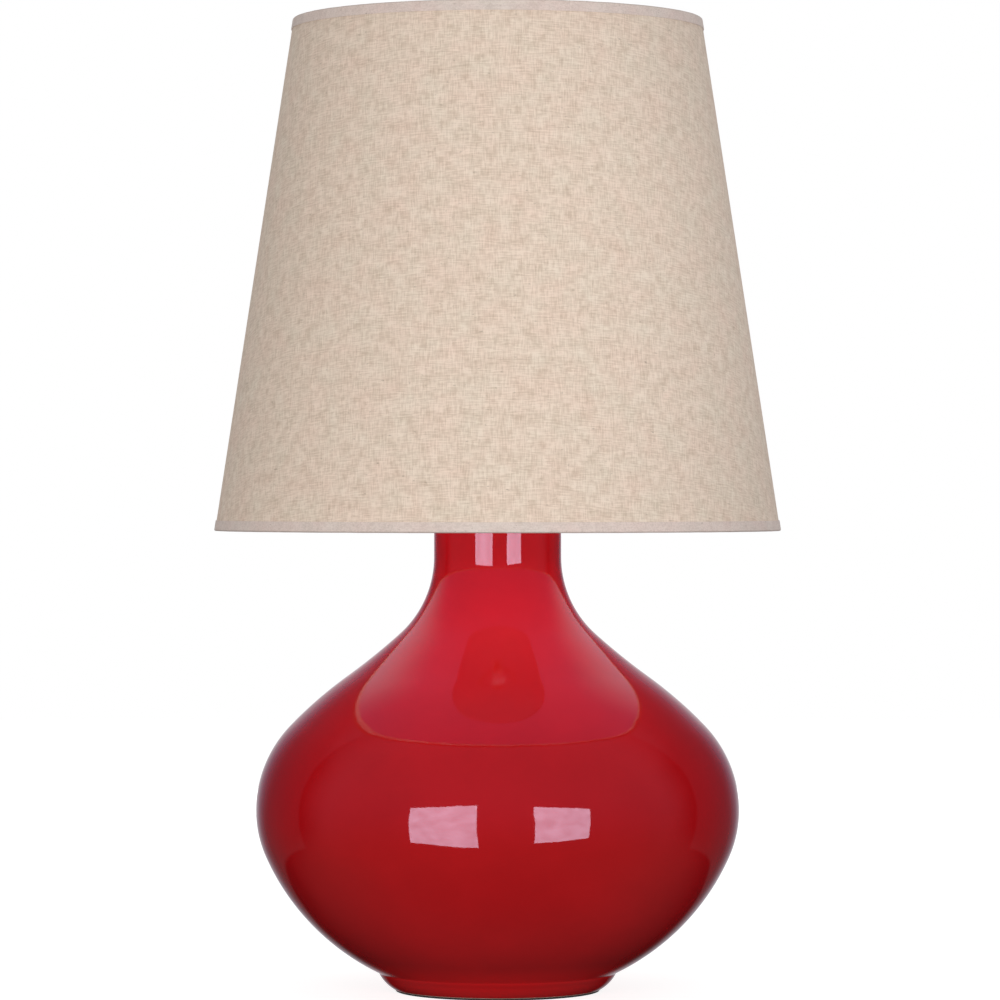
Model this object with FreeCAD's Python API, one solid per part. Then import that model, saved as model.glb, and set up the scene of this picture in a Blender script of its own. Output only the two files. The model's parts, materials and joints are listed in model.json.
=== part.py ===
"""Table lamp: a glazed ceramic body with a tall neck, a socket on a threaded pipe, a wire harp and a tapered linen shade.

Millimetres, +Z up. The origin is the centre of the felt ring's underside, where the lamp stands.
-Y is the front, the switch knob points to the front, the cord outlet is at the back, and the harp lies in the XZ plane.
"""

import FreeCAD
import Part
import math
import os

# Ceramic body
body_height = 418.5
belly_radius = 195.5
belly_height = 144.5
neck_radius = 51.5
wall = 7.0
foot_radius = 96.0
foot_height = 12.5
foot_edge_radius = 84.0
crease_round = 3.0
lip_chamfer = 1.5
recess_radius = 74.0
floor_thickness = 7.0
floor_hole_radius = 8.0
# Where the neck starts to run straight, and where the shoulder turns into it between the belly and there
straight_neck_share = 0.748
turn_height_share = 0.527
turn_bulge_share = 0.49
# Leans of the outline where its arcs meet, as shares of the lean of the chord under them
foot_lean_share = 0.62
crease_lean_share = 1.73
lower_lean_share = 0.649
shoulder_lean_share = 1.286
turn_lean_share = 1.54
neck_lean_share = 1.333
# Straight stretches of the inside under each arc of the outside
inner_step_count = 2

# Felt ring under the foot
felt_thickness = 1.5
felt_inset = 1.5

# Cord outlet through the back of the foot, and its bushing
outlet_height = 7.5
outlet_radius = 3.4
bushing_clearance = 0.1
bushing_wall = 0.8
bushing_length = 14.0
bushing_flange_radius = 5.0
bushing_flange_thickness = 1.6

# Threaded pipe, and the hardware that clamps the body on it
pipe_radius = 4.85
pipe_bore_radius = 3.3
pipe_overhang = 1.6
pipe_into_hub = 7.5
thread_clearance = 0.05
base_gasket_radius = 27.0
base_gasket_thickness = 1.5
base_washer_radius = 26.0
base_washer_thickness = 1.5
lock_washer_radius = 9.0
lock_washer_thickness = 1.0
lock_tooth_depth = 1.8
lock_tooth_count = 12
nut_sides = 6
base_nut_flats = 14.3
base_nut_thickness = 4.8
nut_chamfer = 0.7
end_bushing_flange = 1.2
end_bushing_thickness = 1.0
end_bushing_depth = 8.0
end_bushing_wall = 0.6
end_bushing_clearance = 0.1

# Plug, cap and spacer on top of the neck
plug_thickness = 6.0
plug_clearance = 0.5
cap_sheet = 1.2
cap_clearance = 0.3
cap_skirt = 6.0
cap_bend = 0.3
cap_flat_width = 9.0
cap_rise = 9.0
cap_boss_radius = 17.0
cap_boss_bend = 8.0
spacer_height = 24.0
spacer_foot_radius = 11.5
spacer_waist_radius = 7.0
spacer_head_radius = 9.5
spacer_flange = 3.0
spacer_chamfer = 1.0

# Harp saddle and its nut
saddle_thickness = 1.5
saddle_width = 12.7
saddle_bend = 3.0
saddle_shoulder_height = 14.0
tongue_height = 11.0
tongue_width = 5.0
saddle_nut_flats = 12.7
saddle_nut_thickness = 4.0

# Harp
harp_height = 303.7
leg_spacing = 61.0
harp_wire_radius = 1.6
leg_straight = 38.0
flare_angle = 12.0
flare_radius = 60.0
shoulder_angle = 26.0
shoulder_radius = 120.0
crown_radius = 22.0
crown_half_width = 9.0
crown_boss_radius = 7.0
crown_boss_thickness = 3.0
crown_flat_radius = 11.0
paddle_height = 13.0
paddle_clearance = 0.05
paddle_foot_gap = 0.3

# Ferrules that slide on the harp legs
ferrule_length = 17.0
ferrule_bore_radius = 3.3
ferrule_wall = 0.9
ferrule_lip = 1.2
ferrule_lip_clearance = 0.3
ferrule_chamfer = 0.5
ferrule_seat_gap = 0.3

# Swivel stud on the harp's crown
stud_radius = 3.15
stud_height = 16.0
stud_neck_radius = 2.2
stud_fit = 0.05
stud_play = 0.1
stud_disc_radius = 9.0
stud_disc_thickness = 1.6
stud_rivet_radius = 3.8
stud_rivet_thickness = 1.3
stud_rivet_chamfer = 0.6
stud_tip_chamfer = 0.6

# Socket cap
cap_hub_radius = 7.5
cap_hub_height = 9.0
socket_sheet = 0.6
socket_cap_radius = 17.7
socket_dome_height = 5.0
socket_cap_height = 21.0
socket_bend = 2.5
socket_hub_bend = 0.3
setscrew_radius = 1.6
setscrew_length = 6.0
setscrew_height = 4.5

# Socket block, contact, screw shell, paper sleeve and shell
socket_gap = 0.2
block_gap = 1.0
block_height = 20.0
block_chamfer = 2.0
shell_lift = 2.5
insulator_thickness = 0.5
socket_shell_height = 46.0
socket_rim_bend = 1.0
socket_rim_width = 1.6
screw_shell_sheet = 0.5
screw_shell_bend = 0.3
screw_shell_clearance = 0.1
screw_shell_setback = 1.0
screw_shell_hole_radius = 7.0
terminal_notch_depth = 4.6
terminal_notch_width = 9.0
terminal_notch_height = 9.0
terminal_notch_lift = 6.0
terminal_head_radius = 3.2
terminal_head_thickness = 1.8
terminal_shank_radius = 1.7
terminal_shank_length = 4.6
screw_slot_width = 0.8
contact_thickness = 0.5
contact_width = 5.0
contact_length = 11.0
contact_rise = 3.0
contact_bend = 1.0

# Switch shaft and knob
switch_lift = 5.0
shaft_radius = 2.4
shaft_fit = 0.05
shaft_end_play = 0.3
shaft_inner_end = 7.0
shaft_reach = 36.0
shaft_notch_clearance = 0.5
knob_length = 14.0
knob_radius = 6.6
knob_neck_radius = 4.2
knob_neck_length = 3.0
knob_chamfer = 1.0
knob_cap_thickness = 3.0
flute_count = 8
flute_radius = 1.3

# Bulb
globe_radius = 33.5
bulb_length = 134.0
bulb_neck_radius = 13.8
bulb_neck_curve = 58.0
bulb_collar_depth = 5.0
bulb_collar_clearance = 0.1
bulb_shoulder_height = 3.5
bulb_wall = 0.9
bulb_base_radius = 13.0
bulb_base_height = 24.0
bulb_base_sheet = 0.4
bulb_base_taper = 3.0
bulb_seat_gap = 0.3
tip_height = 1.6
tip_radius = 4.4
tip_chamfer = 0.8
bulb_insulator_height = 3.4
bulb_insulator_radius = 11.0
bulb_insulator_edge = 0.4
insulator_seat_gap = 0.1
stem_radius = 4.5
stem_chamfer = 2.0
stem_height = 46.0
stem_fit = 0.05
lead_radius = 0.5
lead_spacing = 4.0
filament_length = 22.0
filament_lift = 22.0
filament_radius = 0.9

# Shade
shade_height = 413.6
shade_top_radius = 165.1
shade_bottom_radius = 228.6
linen_thickness = 0.8
liner_thickness = 0.5
glue_gap = 0.06
ring_wire_radius = 1.6
ring_wire_sides = 8
trim_thickness = 0.7
trim_height = 8.4
trim_inner_height = 6.0
trim_notch_gap = 0.3
seam_lap = 12.0
seam_thickness = 0.6
fitter_recess = 24.6
hub_radius = 13.0
hub_thickness = 1.8
hub_clearance = 0.25
arm_wire_radius = 1.5
arm_count = 3
arm_level_length = 26.0
arm_bend_radius = 30.0
arm_ring_drop = 1.6
arm_weld_gap = 0.1

# Finial
finial_seat_gap = 0.1
finial_fit = 0.07
finial_base_radius = 8.0
finial_base_height = 2.6
finial_base_chamfer = 0.8
finial_neck_radius = 4.6
finial_neck_height = 3.4
finial_ball_radius = 7.6
finial_bore_clearance = 0.8

# One overrun for every cut that goes right through, and the least distance that parts two points
overrun = 5.0
join_tolerance = 1e-6
full_turn = 360.0
quarter_turn = 90.0
axis_point = FreeCAD.Vector(0, 0, 0)
up = FreeCAD.Vector(0, 0, 1)
back = FreeCAD.Vector(0, 1, 0)
right = FreeCAD.Vector(1, 0, 0)

# Levels and radii worked out from the sizes above
foot_level = felt_thickness
lip_level = foot_level + body_height
outlet_level = foot_level + outlet_height
cap_top = lip_level + cap_rise + cap_sheet
saddle_level = cap_top + spacer_height
saddle_top = saddle_level + saddle_thickness
shoulder_level = saddle_top + saddle_shoulder_height
hub_level = saddle_top + saddle_nut_thickness
crown_level = saddle_top + harp_height
stud_disc_level = crown_level + stud_play
fitter_level = stud_disc_level + stud_disc_thickness
hub_top = fitter_level + hub_thickness
shade_top = fitter_level + fitter_recess
shade_bottom = shade_top - shade_height
shade_slope = (shade_bottom_radius - shade_top_radius) / shade_height
block_level = hub_level + cap_hub_height + socket_dome_height + block_gap
block_top = block_level + block_height
terminal_level = block_level + terminal_notch_lift + terminal_notch_height / 2
switch_level = hub_level + socket_cap_height + switch_lift
shell_low = block_level + shell_lift
shell_top = block_level + socket_shell_height
shell_radius = socket_cap_radius - socket_sheet - socket_gap
insulator_radius = shell_radius - socket_sheet - socket_gap
block_radius = insulator_radius - insulator_thickness - socket_gap
bulb_tip_level = block_top + contact_thickness + contact_rise + bulb_seat_gap
bulb_base_top = bulb_tip_level + bulb_base_height
leg_axis = leg_spacing / 2
pipe_hole_radius = pipe_radius + thread_clearance


def point(across, height):
    """A point of a section, across from the lamp's axis and up."""
    return FreeCAD.Vector(across, 0, height)


def moved(start, lean, size, turn):
    """Where a step ends. The lean is from the vertical, outwards. The step is a line of that size
    where the turn is 0, and else an arc of that radius, outwards for a turn above 0."""
    if turn == 0:
        return start + point(size * math.sin(lean), size * math.cos(lean))
    side = 1 if turn > 0 else -1
    across = side * size * (math.cos(lean) - math.cos(lean + turn))
    height = side * size * (math.sin(lean + turn) - math.sin(lean))
    return start + point(across, height)


def smooth_run(start, lean, steps):
    """Lines and arcs that follow each other smoothly, each step a size and a turn."""
    edges = []
    for size, turn in steps:
        end = moved(start, lean, size, turn)
        if turn == 0:
            edges.append(Part.makeLine(start, end))
        else:
            middle = moved(start, lean, size, turn / 2)
            edges.append(Part.Arc(start, middle, end).toShape())
        start = end
        lean += turn
    return edges


def two_sizes(start, end, lean, first_turn, second_lean, second_turn):
    """Sizes of two steps that lead from start to end, the second one starting with its own lean."""
    first = moved(axis_point, lean, 1, first_turn)
    second = moved(axis_point, second_lean, 1, second_turn)
    way = end - start
    spread = first.x * second.z - second.x * first.z
    return (way.x * second.z - second.x * way.z) / spread, (first.x * way.z - way.x * first.z) / spread


def corner_points(before, corner, after, radius):
    """Where a rounded or chamfered corner starts, the middle of its arc, and its end."""
    to_before = (before - corner).normalize()
    to_after = (after - corner).normalize()
    half_angle = to_before.getAngle(to_after) / 2
    if radius == 0 or math.isclose(half_angle, math.pi / 2):
        return corner, None, corner
    if radius < 0:
        return corner - to_before * radius, None, corner - to_after * radius
    reach = radius / math.tan(half_angle)
    inward = (to_before + to_after).normalize()
    middle = corner + inward * (radius / math.sin(half_angle) - radius)
    return corner + to_before * reach, middle, corner + to_after * reach


def rounded_edges(corners, closed=True):
    """Lines and tangent arcs through corners, each one (across, height, radius).
    A radius below 0 is a chamfer that cuts off so much of both sides."""
    places = [point(across, height) for across, height, _ in corners]
    count = len(places)
    bends = []
    for i, (_, _, radius) in enumerate(corners):
        if closed or 0 < i < count - 1:
            bends.append(corner_points(places[i - 1], places[i], places[(i + 1) % count], radius))
        else:
            bends.append((places[i], None, places[i]))
    edges = []
    for i, (start, middle, end) in enumerate(bends):
        if middle is not None:
            edges.append(Part.Arc(start, middle, end).toShape())
        elif not start.isEqual(end, join_tolerance):
            edges.append(Part.makeLine(start, end))
        following = bends[(i + 1) % count][0]
        if (closed or i < count - 1) and not end.isEqual(following, join_tolerance):
            edges.append(Part.makeLine(end, following))
    return edges


def rounded_face(corners):
    """A flat face inside rounded corners."""
    return Part.Face(Part.Wire(rounded_edges(corners)))


def turned_face(face):
    """A solid turned about the lamp's axis."""
    return face.revolve(axis_point, up, full_turn)


def turned(corners):
    """A solid turned about the lamp's axis from rounded corners."""
    return turned_face(rounded_face(corners))


def sharp(pairs):
    """Corners with no rounding."""
    return [(across, height, 0) for across, height in pairs]


def joined_face(edges):
    """A flat face inside edges given in any order."""
    return Part.Face(Part.Wire(Part.__sortEdges__(edges)))


def sheet_corners(path, bends, thickness):
    """The closed section of a bent sheet that lies to the left of its path.
    bends are the inside radii at the path's corners, without its two ends."""
    places = [point(across, height) for across, height in path]
    lefts = []
    for here, there in zip(places, places[1:]):
        along = (there - here).normalize()
        lefts.append(point(-along.z, along.x))
    lefts = [lefts[0], *lefts, lefts[-1]]
    radii = [0, *bends, 0]
    near, far = [], []
    for place, before, after, bend in zip(places, lefts, lefts[1:], radii):
        offset = place + (before + after) * (thickness / (1 + before.dot(after)))
        turn = before.x * after.z - before.z * after.x
        near.append((place.x, place.z, bend + thickness if turn > 0 else bend))
        far.append((offset.x, offset.z, bend + thickness if turn < 0 else bend))
    return near + far[::-1]


def round_bar(radius, start, along, length):
    """A round bar from a start, along a direction."""
    return Part.makeCylinder(radius, length, start, along)


def ring(outer, inner, low, high):
    """A plain ring or tube between two levels."""
    body = round_bar(outer, point(0, low), up, high - low)
    bore = round_bar(inner, point(0, low - overrun), up, high - low + 2 * overrun)
    return body.cut(bore)


def hex_nut(flats, low, high):
    """A hexagon nut on the pipe, with its corners chamfered at both ends."""
    reach = flats / 2 / math.cos(math.pi / nut_sides)
    corners = []
    for i in range(nut_sides + 1):
        turn = 2 * math.pi * i / nut_sides
        corners.append(FreeCAD.Vector(reach * math.cos(turn), reach * math.sin(turn), low))
    prism = Part.Face(Part.makePolygon(corners)).extrude(up * (high - low))
    limit = turned(
        sharp(
            [
                (pipe_hole_radius, low),
                (reach - nut_chamfer, low),
                (reach, low + nut_chamfer / 2),
                (reach, high - nut_chamfer / 2),
                (reach - nut_chamfer, high),
                (pipe_hole_radius, high),
            ]
        )
    )
    return prism.common(limit)


def wire_along(edges, radius, heading):
    """Round wire swept along joined edges, which start with that heading."""
    path = Part.Wire(edges)
    start = path.OrderedVertexes[0].Point
    section = Part.Wire(Part.Circle(start, heading, radius).toShape())
    return path.makePipeShell([section], True, False)


def chord_lean(start, end):
    """How far the straight way between two points leans from the vertical."""
    return math.atan2(abs(end.x - start.x), end.z - start.z)


def foot_run(crease):
    """Outside of the foot, one arc from its edge up to the crease, and its lean there."""
    edge = point(foot_edge_radius, foot_level)
    chord = chord_lean(edge, crease)
    lean = foot_lean_share * chord
    radius = (crease - edge).Length / 2 / math.sin(chord - lean)
    return smooth_run(edge, 2 * chord - lean, [(radius, 2 * (lean - chord))]), lean


def ceramic_outline(crease, foot_lean):
    """Outside of the body from the crease above its foot up to the straight neck.
    Gives the lean above the crease, and the pairs of tangent arcs as starts, leans and radii."""
    belly = point(belly_radius, foot_level + belly_height)
    neck = point(neck_radius, belly.z + straight_neck_share * (lip_level - belly.z))
    turn = point(
        neck_radius + turn_bulge_share * (belly_radius - neck_radius),
        belly.z + turn_height_share * (neck.z - belly.z),
    )
    lower_chord = chord_lean(crease, belly)
    shoulder_chord = chord_lean(belly, turn)
    neck_chord = chord_lean(turn, neck)
    crease_lean = crease_lean_share * lower_chord
    turn_lean = turn_lean_share * (shoulder_chord + neck_chord) / 2
    crease_top = moved(crease, foot_lean, crease_round, crease_lean - foot_lean)
    pairs = []
    for start, end, leans in [
        (crease_top, belly, (crease_lean, lower_lean_share * lower_chord, 0)),
        (belly, turn, (0, -shoulder_lean_share * shoulder_chord, -turn_lean)),
        (turn, neck, (-turn_lean, -neck_lean_share * neck_chord, 0)),
    ]:
        turns = (leans[1] - leans[0], leans[2] - leans[1])
        radii = two_sizes(start, end, leans[0], turns[0], leans[1], turns[1])
        pairs.append((start, leans[0], list(zip(radii, turns))))
    return crease_lean, pairs


def set_in(place, lean):
    """The point of the inside face behind a point of the outline that leans so."""
    return place + point(-math.cos(lean), math.sin(lean)) * wall


def inner_points(start, lean, steps):
    """Points of the inside face behind the outline's arcs, without the last one's end."""
    places = []
    for radius, turn in steps:
        for i in range(inner_step_count):
            part_turn = turn * i / inner_step_count
            place = moved(start, lean, radius, part_turn) if i else start
            places.append(set_in(place, lean + part_turn))
        start = moved(start, lean, radius, turn)
        lean += turn
    return places


def make_ceramic_body():
    """Hollow body turned from one closed section of foot, outside, lip, inside and floor."""
    crease = point(foot_radius, foot_level + foot_height)
    outside, foot_lean = foot_run(crease)
    crease_lean, pairs = ceramic_outline(crease, foot_lean)
    outside += smooth_run(crease, foot_lean, [(crease_round, crease_lean - foot_lean)])
    inside = []
    for start, lean, steps in pairs:
        outside += smooth_run(start, lean, steps)
        inside += inner_points(start, lean, steps)
    floor_edge = inside[0]
    floor_under = floor_edge.z - floor_thickness
    neck_level = outside[-1].Vertexes[-1].Point.z
    lip = [
        (neck_radius, neck_level, 0),
        (neck_radius, lip_level, -lip_chamfer),
        (neck_radius - wall, lip_level, -lip_chamfer),
        (neck_radius - wall, neck_level, 0),
    ]
    lip += sharp((place.x, place.z) for place in inside[::-1])
    foot = [
        (floor_edge.x, floor_edge.z, 0),
        (floor_hole_radius, floor_edge.z, 0),
        (floor_hole_radius, floor_under, 0),
        (recess_radius, floor_under, 0),
        (recess_radius, foot_level, 0),
        (foot_edge_radius, foot_level, 0),
    ]
    section = rounded_edges(foot, False) + outside + rounded_edges(lip, False)
    body = turned_face(joined_face(section))
    outlet_start = FreeCAD.Vector(0, recess_radius - overrun, outlet_level)
    outlet = round_bar(outlet_radius, outlet_start, back, foot_radius - recess_radius + 2 * overrun)
    return body.cut(outlet), floor_under


def make_base_felt():
    return ring(foot_edge_radius - felt_inset, recess_radius + felt_inset, 0, foot_level)


def make_cord_bushing():
    """Sleeve in the cord outlet, with its flange on the inside of the foot."""
    outer = outlet_radius - bushing_clearance
    bore = outer - bushing_wall
    sleeve = turned(
        sharp(
            [
                (bore, 0),
                (bushing_flange_radius, 0),
                (bushing_flange_radius, bushing_flange_thickness),
                (outer, bushing_flange_thickness),
                (outer, bushing_length),
                (bore, bushing_length),
            ]
        )
    )
    # The flange is flat and the foot's inside is round, so it touches along its sides
    hollow = recess_radius - math.sqrt(recess_radius**2 - bushing_flange_radius**2)
    sleeve.rotate(axis_point, right, -quarter_turn)
    seat = recess_radius - hollow - bushing_flange_thickness
    sleeve.translate(FreeCAD.Vector(0, seat, outlet_level))
    return sleeve


def make_lock_washer(low, high):
    """Washer with teeth towards the pipe."""
    root = pipe_hole_radius + lock_tooth_depth
    half_pitch = math.pi / lock_tooth_count
    tooth_half = root * math.tan(half_pitch / 2)
    tip_half = tooth_half / 2
    outline = [
        FreeCAD.Vector(pipe_hole_radius, -tip_half, low),
        FreeCAD.Vector(root + tooth_half, -tooth_half, low),
        FreeCAD.Vector(root + tooth_half, tooth_half, low),
        FreeCAD.Vector(pipe_hole_radius, tip_half, low),
        FreeCAD.Vector(pipe_hole_radius, -tip_half, low),
    ]
    tooth = Part.Face(Part.makePolygon(outline)).extrude(up * (high - low))
    washer = ring(lock_washer_radius, root, low, high)
    for i in range(lock_tooth_count):
        placed = tooth.copy()
        placed.rotate(axis_point, up, full_turn * i / lock_tooth_count)
        washer = washer.fuse(placed)
    return washer.removeSplitter()


def make_base_hardware(floor_under):
    """Gasket, steel washer, lock washer and nut in the order they go on from below, the pipe and its end sleeve."""
    gasket_low = floor_under - base_gasket_thickness
    washer_low = gasket_low - base_washer_thickness
    lock_low = washer_low - lock_washer_thickness
    nut_low = lock_low - base_nut_thickness
    pipe_low = nut_low - pipe_overhang
    return {
        "base_gasket": ring(base_gasket_radius, pipe_hole_radius, gasket_low, floor_under),
        "base_washer": ring(base_washer_radius, pipe_hole_radius, washer_low, gasket_low),
        "lock_washer": make_lock_washer(lock_low, washer_low),
        "base_nut": hex_nut(base_nut_flats, nut_low, lock_low),
        "lamp_pipe": ring(pipe_radius, pipe_bore_radius, pipe_low, hub_level + pipe_into_hub),
        "pipe_end_bushing": make_pipe_end_bushing(pipe_low),
    }


def make_pipe_end_bushing(pipe_low):
    """Plastic sleeve that keeps the pipe's sharp end off the cord."""
    outer = pipe_bore_radius - end_bushing_clearance
    bore = outer - end_bushing_wall
    low = pipe_low - end_bushing_thickness
    return turned(
        sharp(
            [
                (bore, low),
                (pipe_radius + end_bushing_flange, low),
                (pipe_radius + end_bushing_flange, pipe_low),
                (outer, pipe_low),
                (outer, pipe_low + end_bushing_depth),
                (bore, pipe_low + end_bushing_depth),
            ]
        )
    )


def make_neck_plug():
    return ring(neck_radius - wall - plug_clearance, pipe_hole_radius, lip_level - plug_thickness, lip_level)


def make_vase_cap():
    """Spun cap: a raised boss for the spacer, a flat that sits on the lip, and a skirt round the neck."""
    skirt = neck_radius + cap_clearance
    path = [
        (pipe_hole_radius, lip_level + cap_rise),
        (cap_boss_radius, lip_level + cap_rise),
        (skirt - cap_flat_width, lip_level),
        (skirt, lip_level),
        (skirt, lip_level - cap_skirt),
    ]
    return turned(sheet_corners(path, [cap_boss_bend, cap_boss_bend, cap_bend], cap_sheet))


def make_neck_spacer():
    """Turned spool between the cap and the saddle."""
    foot_top = cap_top + spacer_flange
    head_low = saddle_level - spacer_flange
    head_neck = spacer_head_radius - spacer_flange / 2
    foot_neck = spacer_foot_radius - spacer_flange / 2
    edges = rounded_edges(
        [
            (foot_neck, foot_top, 0),
            (spacer_foot_radius, foot_top, -spacer_chamfer),
            (spacer_foot_radius, cap_top, 0),
            (pipe_hole_radius, cap_top, 0),
            (pipe_hole_radius, saddle_level, 0),
            (spacer_head_radius, saddle_level, 0),
            (spacer_head_radius, head_low, -spacer_chamfer),
            (head_neck, head_low, 0),
        ],
        False,
    )
    waist_middle = point(spacer_waist_radius, (foot_top + head_low) / 2)
    waist = Part.Arc(point(head_neck, head_low), waist_middle, point(foot_neck, foot_top)).toShape()
    return turned_face(joined_face(edges + [waist]))


def make_harp_saddle():
    """Bent strip on the pipe, with two uprights that end in narrow tongues."""
    inner = leg_axis + paddle_clearance
    tip = shoulder_level + tongue_height
    path = [(-inner, tip), (-inner, saddle_top), (inner, saddle_top), (inner, tip)]
    section = rounded_face(sheet_corners(path[::-1], [saddle_bend, saddle_bend], saddle_thickness))
    strip = section.extrude(back * saddle_width)
    strip.translate(back * (-saddle_width / 2))
    length = 2 * (inner + saddle_thickness + overrun)
    beside = saddle_width / 2 + overrun
    for low_y in (-tongue_width / 2 - beside, tongue_width / 2):
        corner = FreeCAD.Vector(-length / 2, low_y, shoulder_level)
        strip = strip.cut(Part.makeBox(length, beside, tongue_height + overrun, corner))
    hole = round_bar(pipe_hole_radius, point(0, saddle_level - overrun), up, saddle_thickness + 2 * overrun)
    return strip.cut(hole)


def harp_side():
    """The harp's right side as smooth edges, from its foot up to the crown."""
    flare = math.radians(flare_angle)
    shoulder = math.radians(shoulder_angle)
    foot = point(leg_axis, shoulder_level + tongue_height + paddle_foot_gap)
    crown = point(crown_half_width, crown_level - crown_boss_thickness / 2)
    flare_turn = (flare_radius, flare)
    shoulder_turn = (shoulder_radius, -flare - shoulder)
    crown_turn = (crown_radius, shoulder - math.pi / 2)
    # What the bends cover, so that the two slanting runs between them can make up the rest
    flare_end = moved(moved(foot, 0, leg_straight, 0), 0, *flare_turn)
    shoulder_way = moved(axis_point, flare, *shoulder_turn)
    crown_way = moved(axis_point, -shoulder, *crown_turn)
    reach = crown - shoulder_way - crown_way
    lower_run, upper_run = two_sizes(flare_end, reach, flare, 0, -shoulder, 0)
    steps = [(leg_straight, 0), flare_turn, (lower_run, 0), shoulder_turn, (upper_run, 0), crown_turn]
    return smooth_run(foot, 0, steps)


def make_harp_bow():
    """Bent wire with flattened ends that lie on the saddle's tongues, and a drilled boss at its crown."""
    side = harp_side()
    mirrored = [edge.mirror(axis_point, right) for edge in side]
    wire_level = crown_level - crown_boss_thickness / 2
    crown = Part.makeLine(point(crown_half_width, wire_level), point(-crown_half_width, wire_level))
    bow = wire_along(Part.__sortEdges__(side + [crown] + mirrored), harp_wire_radius, up)
    depth = harp_wire_radius - paddle_clearance
    for corner_x in (leg_axis - harp_wire_radius, -leg_axis + paddle_clearance):
        corner = FreeCAD.Vector(corner_x, -tongue_width / 2, shoulder_level + paddle_foot_gap)
        bow = bow.fuse(Part.makeBox(depth, tongue_width, paddle_height, corner))
    boss_low = crown_level - crown_boss_thickness
    boss = round_bar(crown_boss_radius, point(0, boss_low), up, crown_boss_thickness)
    # The wire is pressed flat on both sides of the boss
    for low in (crown_level, boss_low - harp_wire_radius):
        bow = bow.cut(round_bar(crown_flat_radius, point(0, low), up, harp_wire_radius))
    hole_length = crown_boss_thickness + 2 * overrun
    hole = round_bar(stud_neck_radius + stud_fit, point(0, boss_low - overrun), up, hole_length)
    return bow.fuse(boss).cut(hole).removeSplitter()


def make_harp_ferrule(axis):
    """Sleeve that locks a leg to its tongue, with a lip that slides on the wire."""
    low = shoulder_level + ferrule_seat_gap
    high = low + ferrule_length
    outer = ferrule_bore_radius + ferrule_wall
    lip_radius = harp_wire_radius + ferrule_lip_clearance
    sleeve = turned(
        [
            (ferrule_bore_radius, low, 0),
            (outer, low, 0),
            (outer, high, -ferrule_chamfer),
            (lip_radius, high, 0),
            (lip_radius, high - ferrule_lip, 0),
            (ferrule_bore_radius, high - ferrule_lip, 0),
        ]
    )
    sleeve.translate(right * axis)
    return sleeve


def make_harp_stud():
    """Rivet head, neck, seat disc and stud in one turned piece."""
    rivet_top = crown_level - crown_boss_thickness - stud_play
    stud_top = fitter_level + stud_height
    return turned(
        [
            (0, rivet_top - stud_rivet_thickness, 0),
            (stud_rivet_radius, rivet_top - stud_rivet_thickness, -stud_rivet_chamfer),
            (stud_rivet_radius, rivet_top, 0),
            (stud_neck_radius, rivet_top, 0),
            (stud_neck_radius, stud_disc_level, 0),
            (stud_disc_radius, stud_disc_level, 0),
            (stud_disc_radius, fitter_level, 0),
            (stud_radius, fitter_level, 0),
            (stud_radius, stud_top, -stud_tip_chamfer),
            (0, stud_top, 0),
        ]
    )


def make_socket_cap():
    """Hub on the pipe with a dished cap that the shell pushes into, drilled for its setscrew."""
    dish_level = hub_level + cap_hub_height
    hub = ring(cap_hub_radius, pipe_hole_radius, hub_level, dish_level)
    inner = socket_cap_radius - socket_sheet
    path = [
        (inner, hub_level + socket_cap_height),
        (inner, dish_level + socket_dome_height),
        (cap_hub_radius + socket_bend, dish_level),
        (pipe_hole_radius, dish_level),
    ]
    dish = turned(sheet_corners(path, [socket_bend, socket_hub_bend], socket_sheet))
    hole_start = point(pipe_radius, hub_level + setscrew_height)
    setscrew_hole = round_bar(setscrew_radius + thread_clearance, hole_start, right, cap_hub_radius)
    return hub.fuse(dish).cut(setscrew_hole).removeSplitter()


def screw_slot(end_x, side, depth, radius, level):
    """A driver slot across the end of a screw that points along X."""
    corner_x = end_x - depth if side > 0 else end_x - overrun
    corner = FreeCAD.Vector(corner_x, -screw_slot_width / 2, level - radius)
    return Part.makeBox(depth + overrun, screw_slot_width, 2 * radius, corner)


def make_cap_setscrew():
    level = hub_level + setscrew_height
    screw = round_bar(setscrew_radius, point(pipe_hole_radius, level), right, setscrew_length)
    end_x = pipe_hole_radius + setscrew_length
    return screw.cut(screw_slot(end_x, 1, setscrew_radius / 2, setscrew_radius, level))


def make_socket_block():
    """Moulded block with a bore for the switch shaft and a notch each side for the terminal screws."""
    block = turned(
        [
            (0, block_level, 0),
            (block_radius, block_level, -block_chamfer),
            (block_radius, block_top, 0),
            (0, block_top, 0),
        ]
    )
    bore_start = FreeCAD.Vector(0, shaft_end_play - shaft_inner_end, switch_level)
    block = block.cut(round_bar(shaft_radius + shaft_fit, bore_start, -back, block_radius))
    notch_face = block_radius - terminal_notch_depth
    cut_depth = terminal_notch_depth + overrun
    for side, corner_x in ((1, notch_face), (-1, -notch_face - cut_depth)):
        corner = FreeCAD.Vector(corner_x, -terminal_notch_width / 2, block_level + terminal_notch_lift)
        notch = Part.makeBox(cut_depth, terminal_notch_width, terminal_notch_height, corner)
        hole_start = point(side * notch_face, terminal_level)
        hole = round_bar(terminal_shank_radius + thread_clearance, hole_start, right * -side, terminal_shank_length)
        block = block.cut(notch).cut(hole)
    return block


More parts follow.
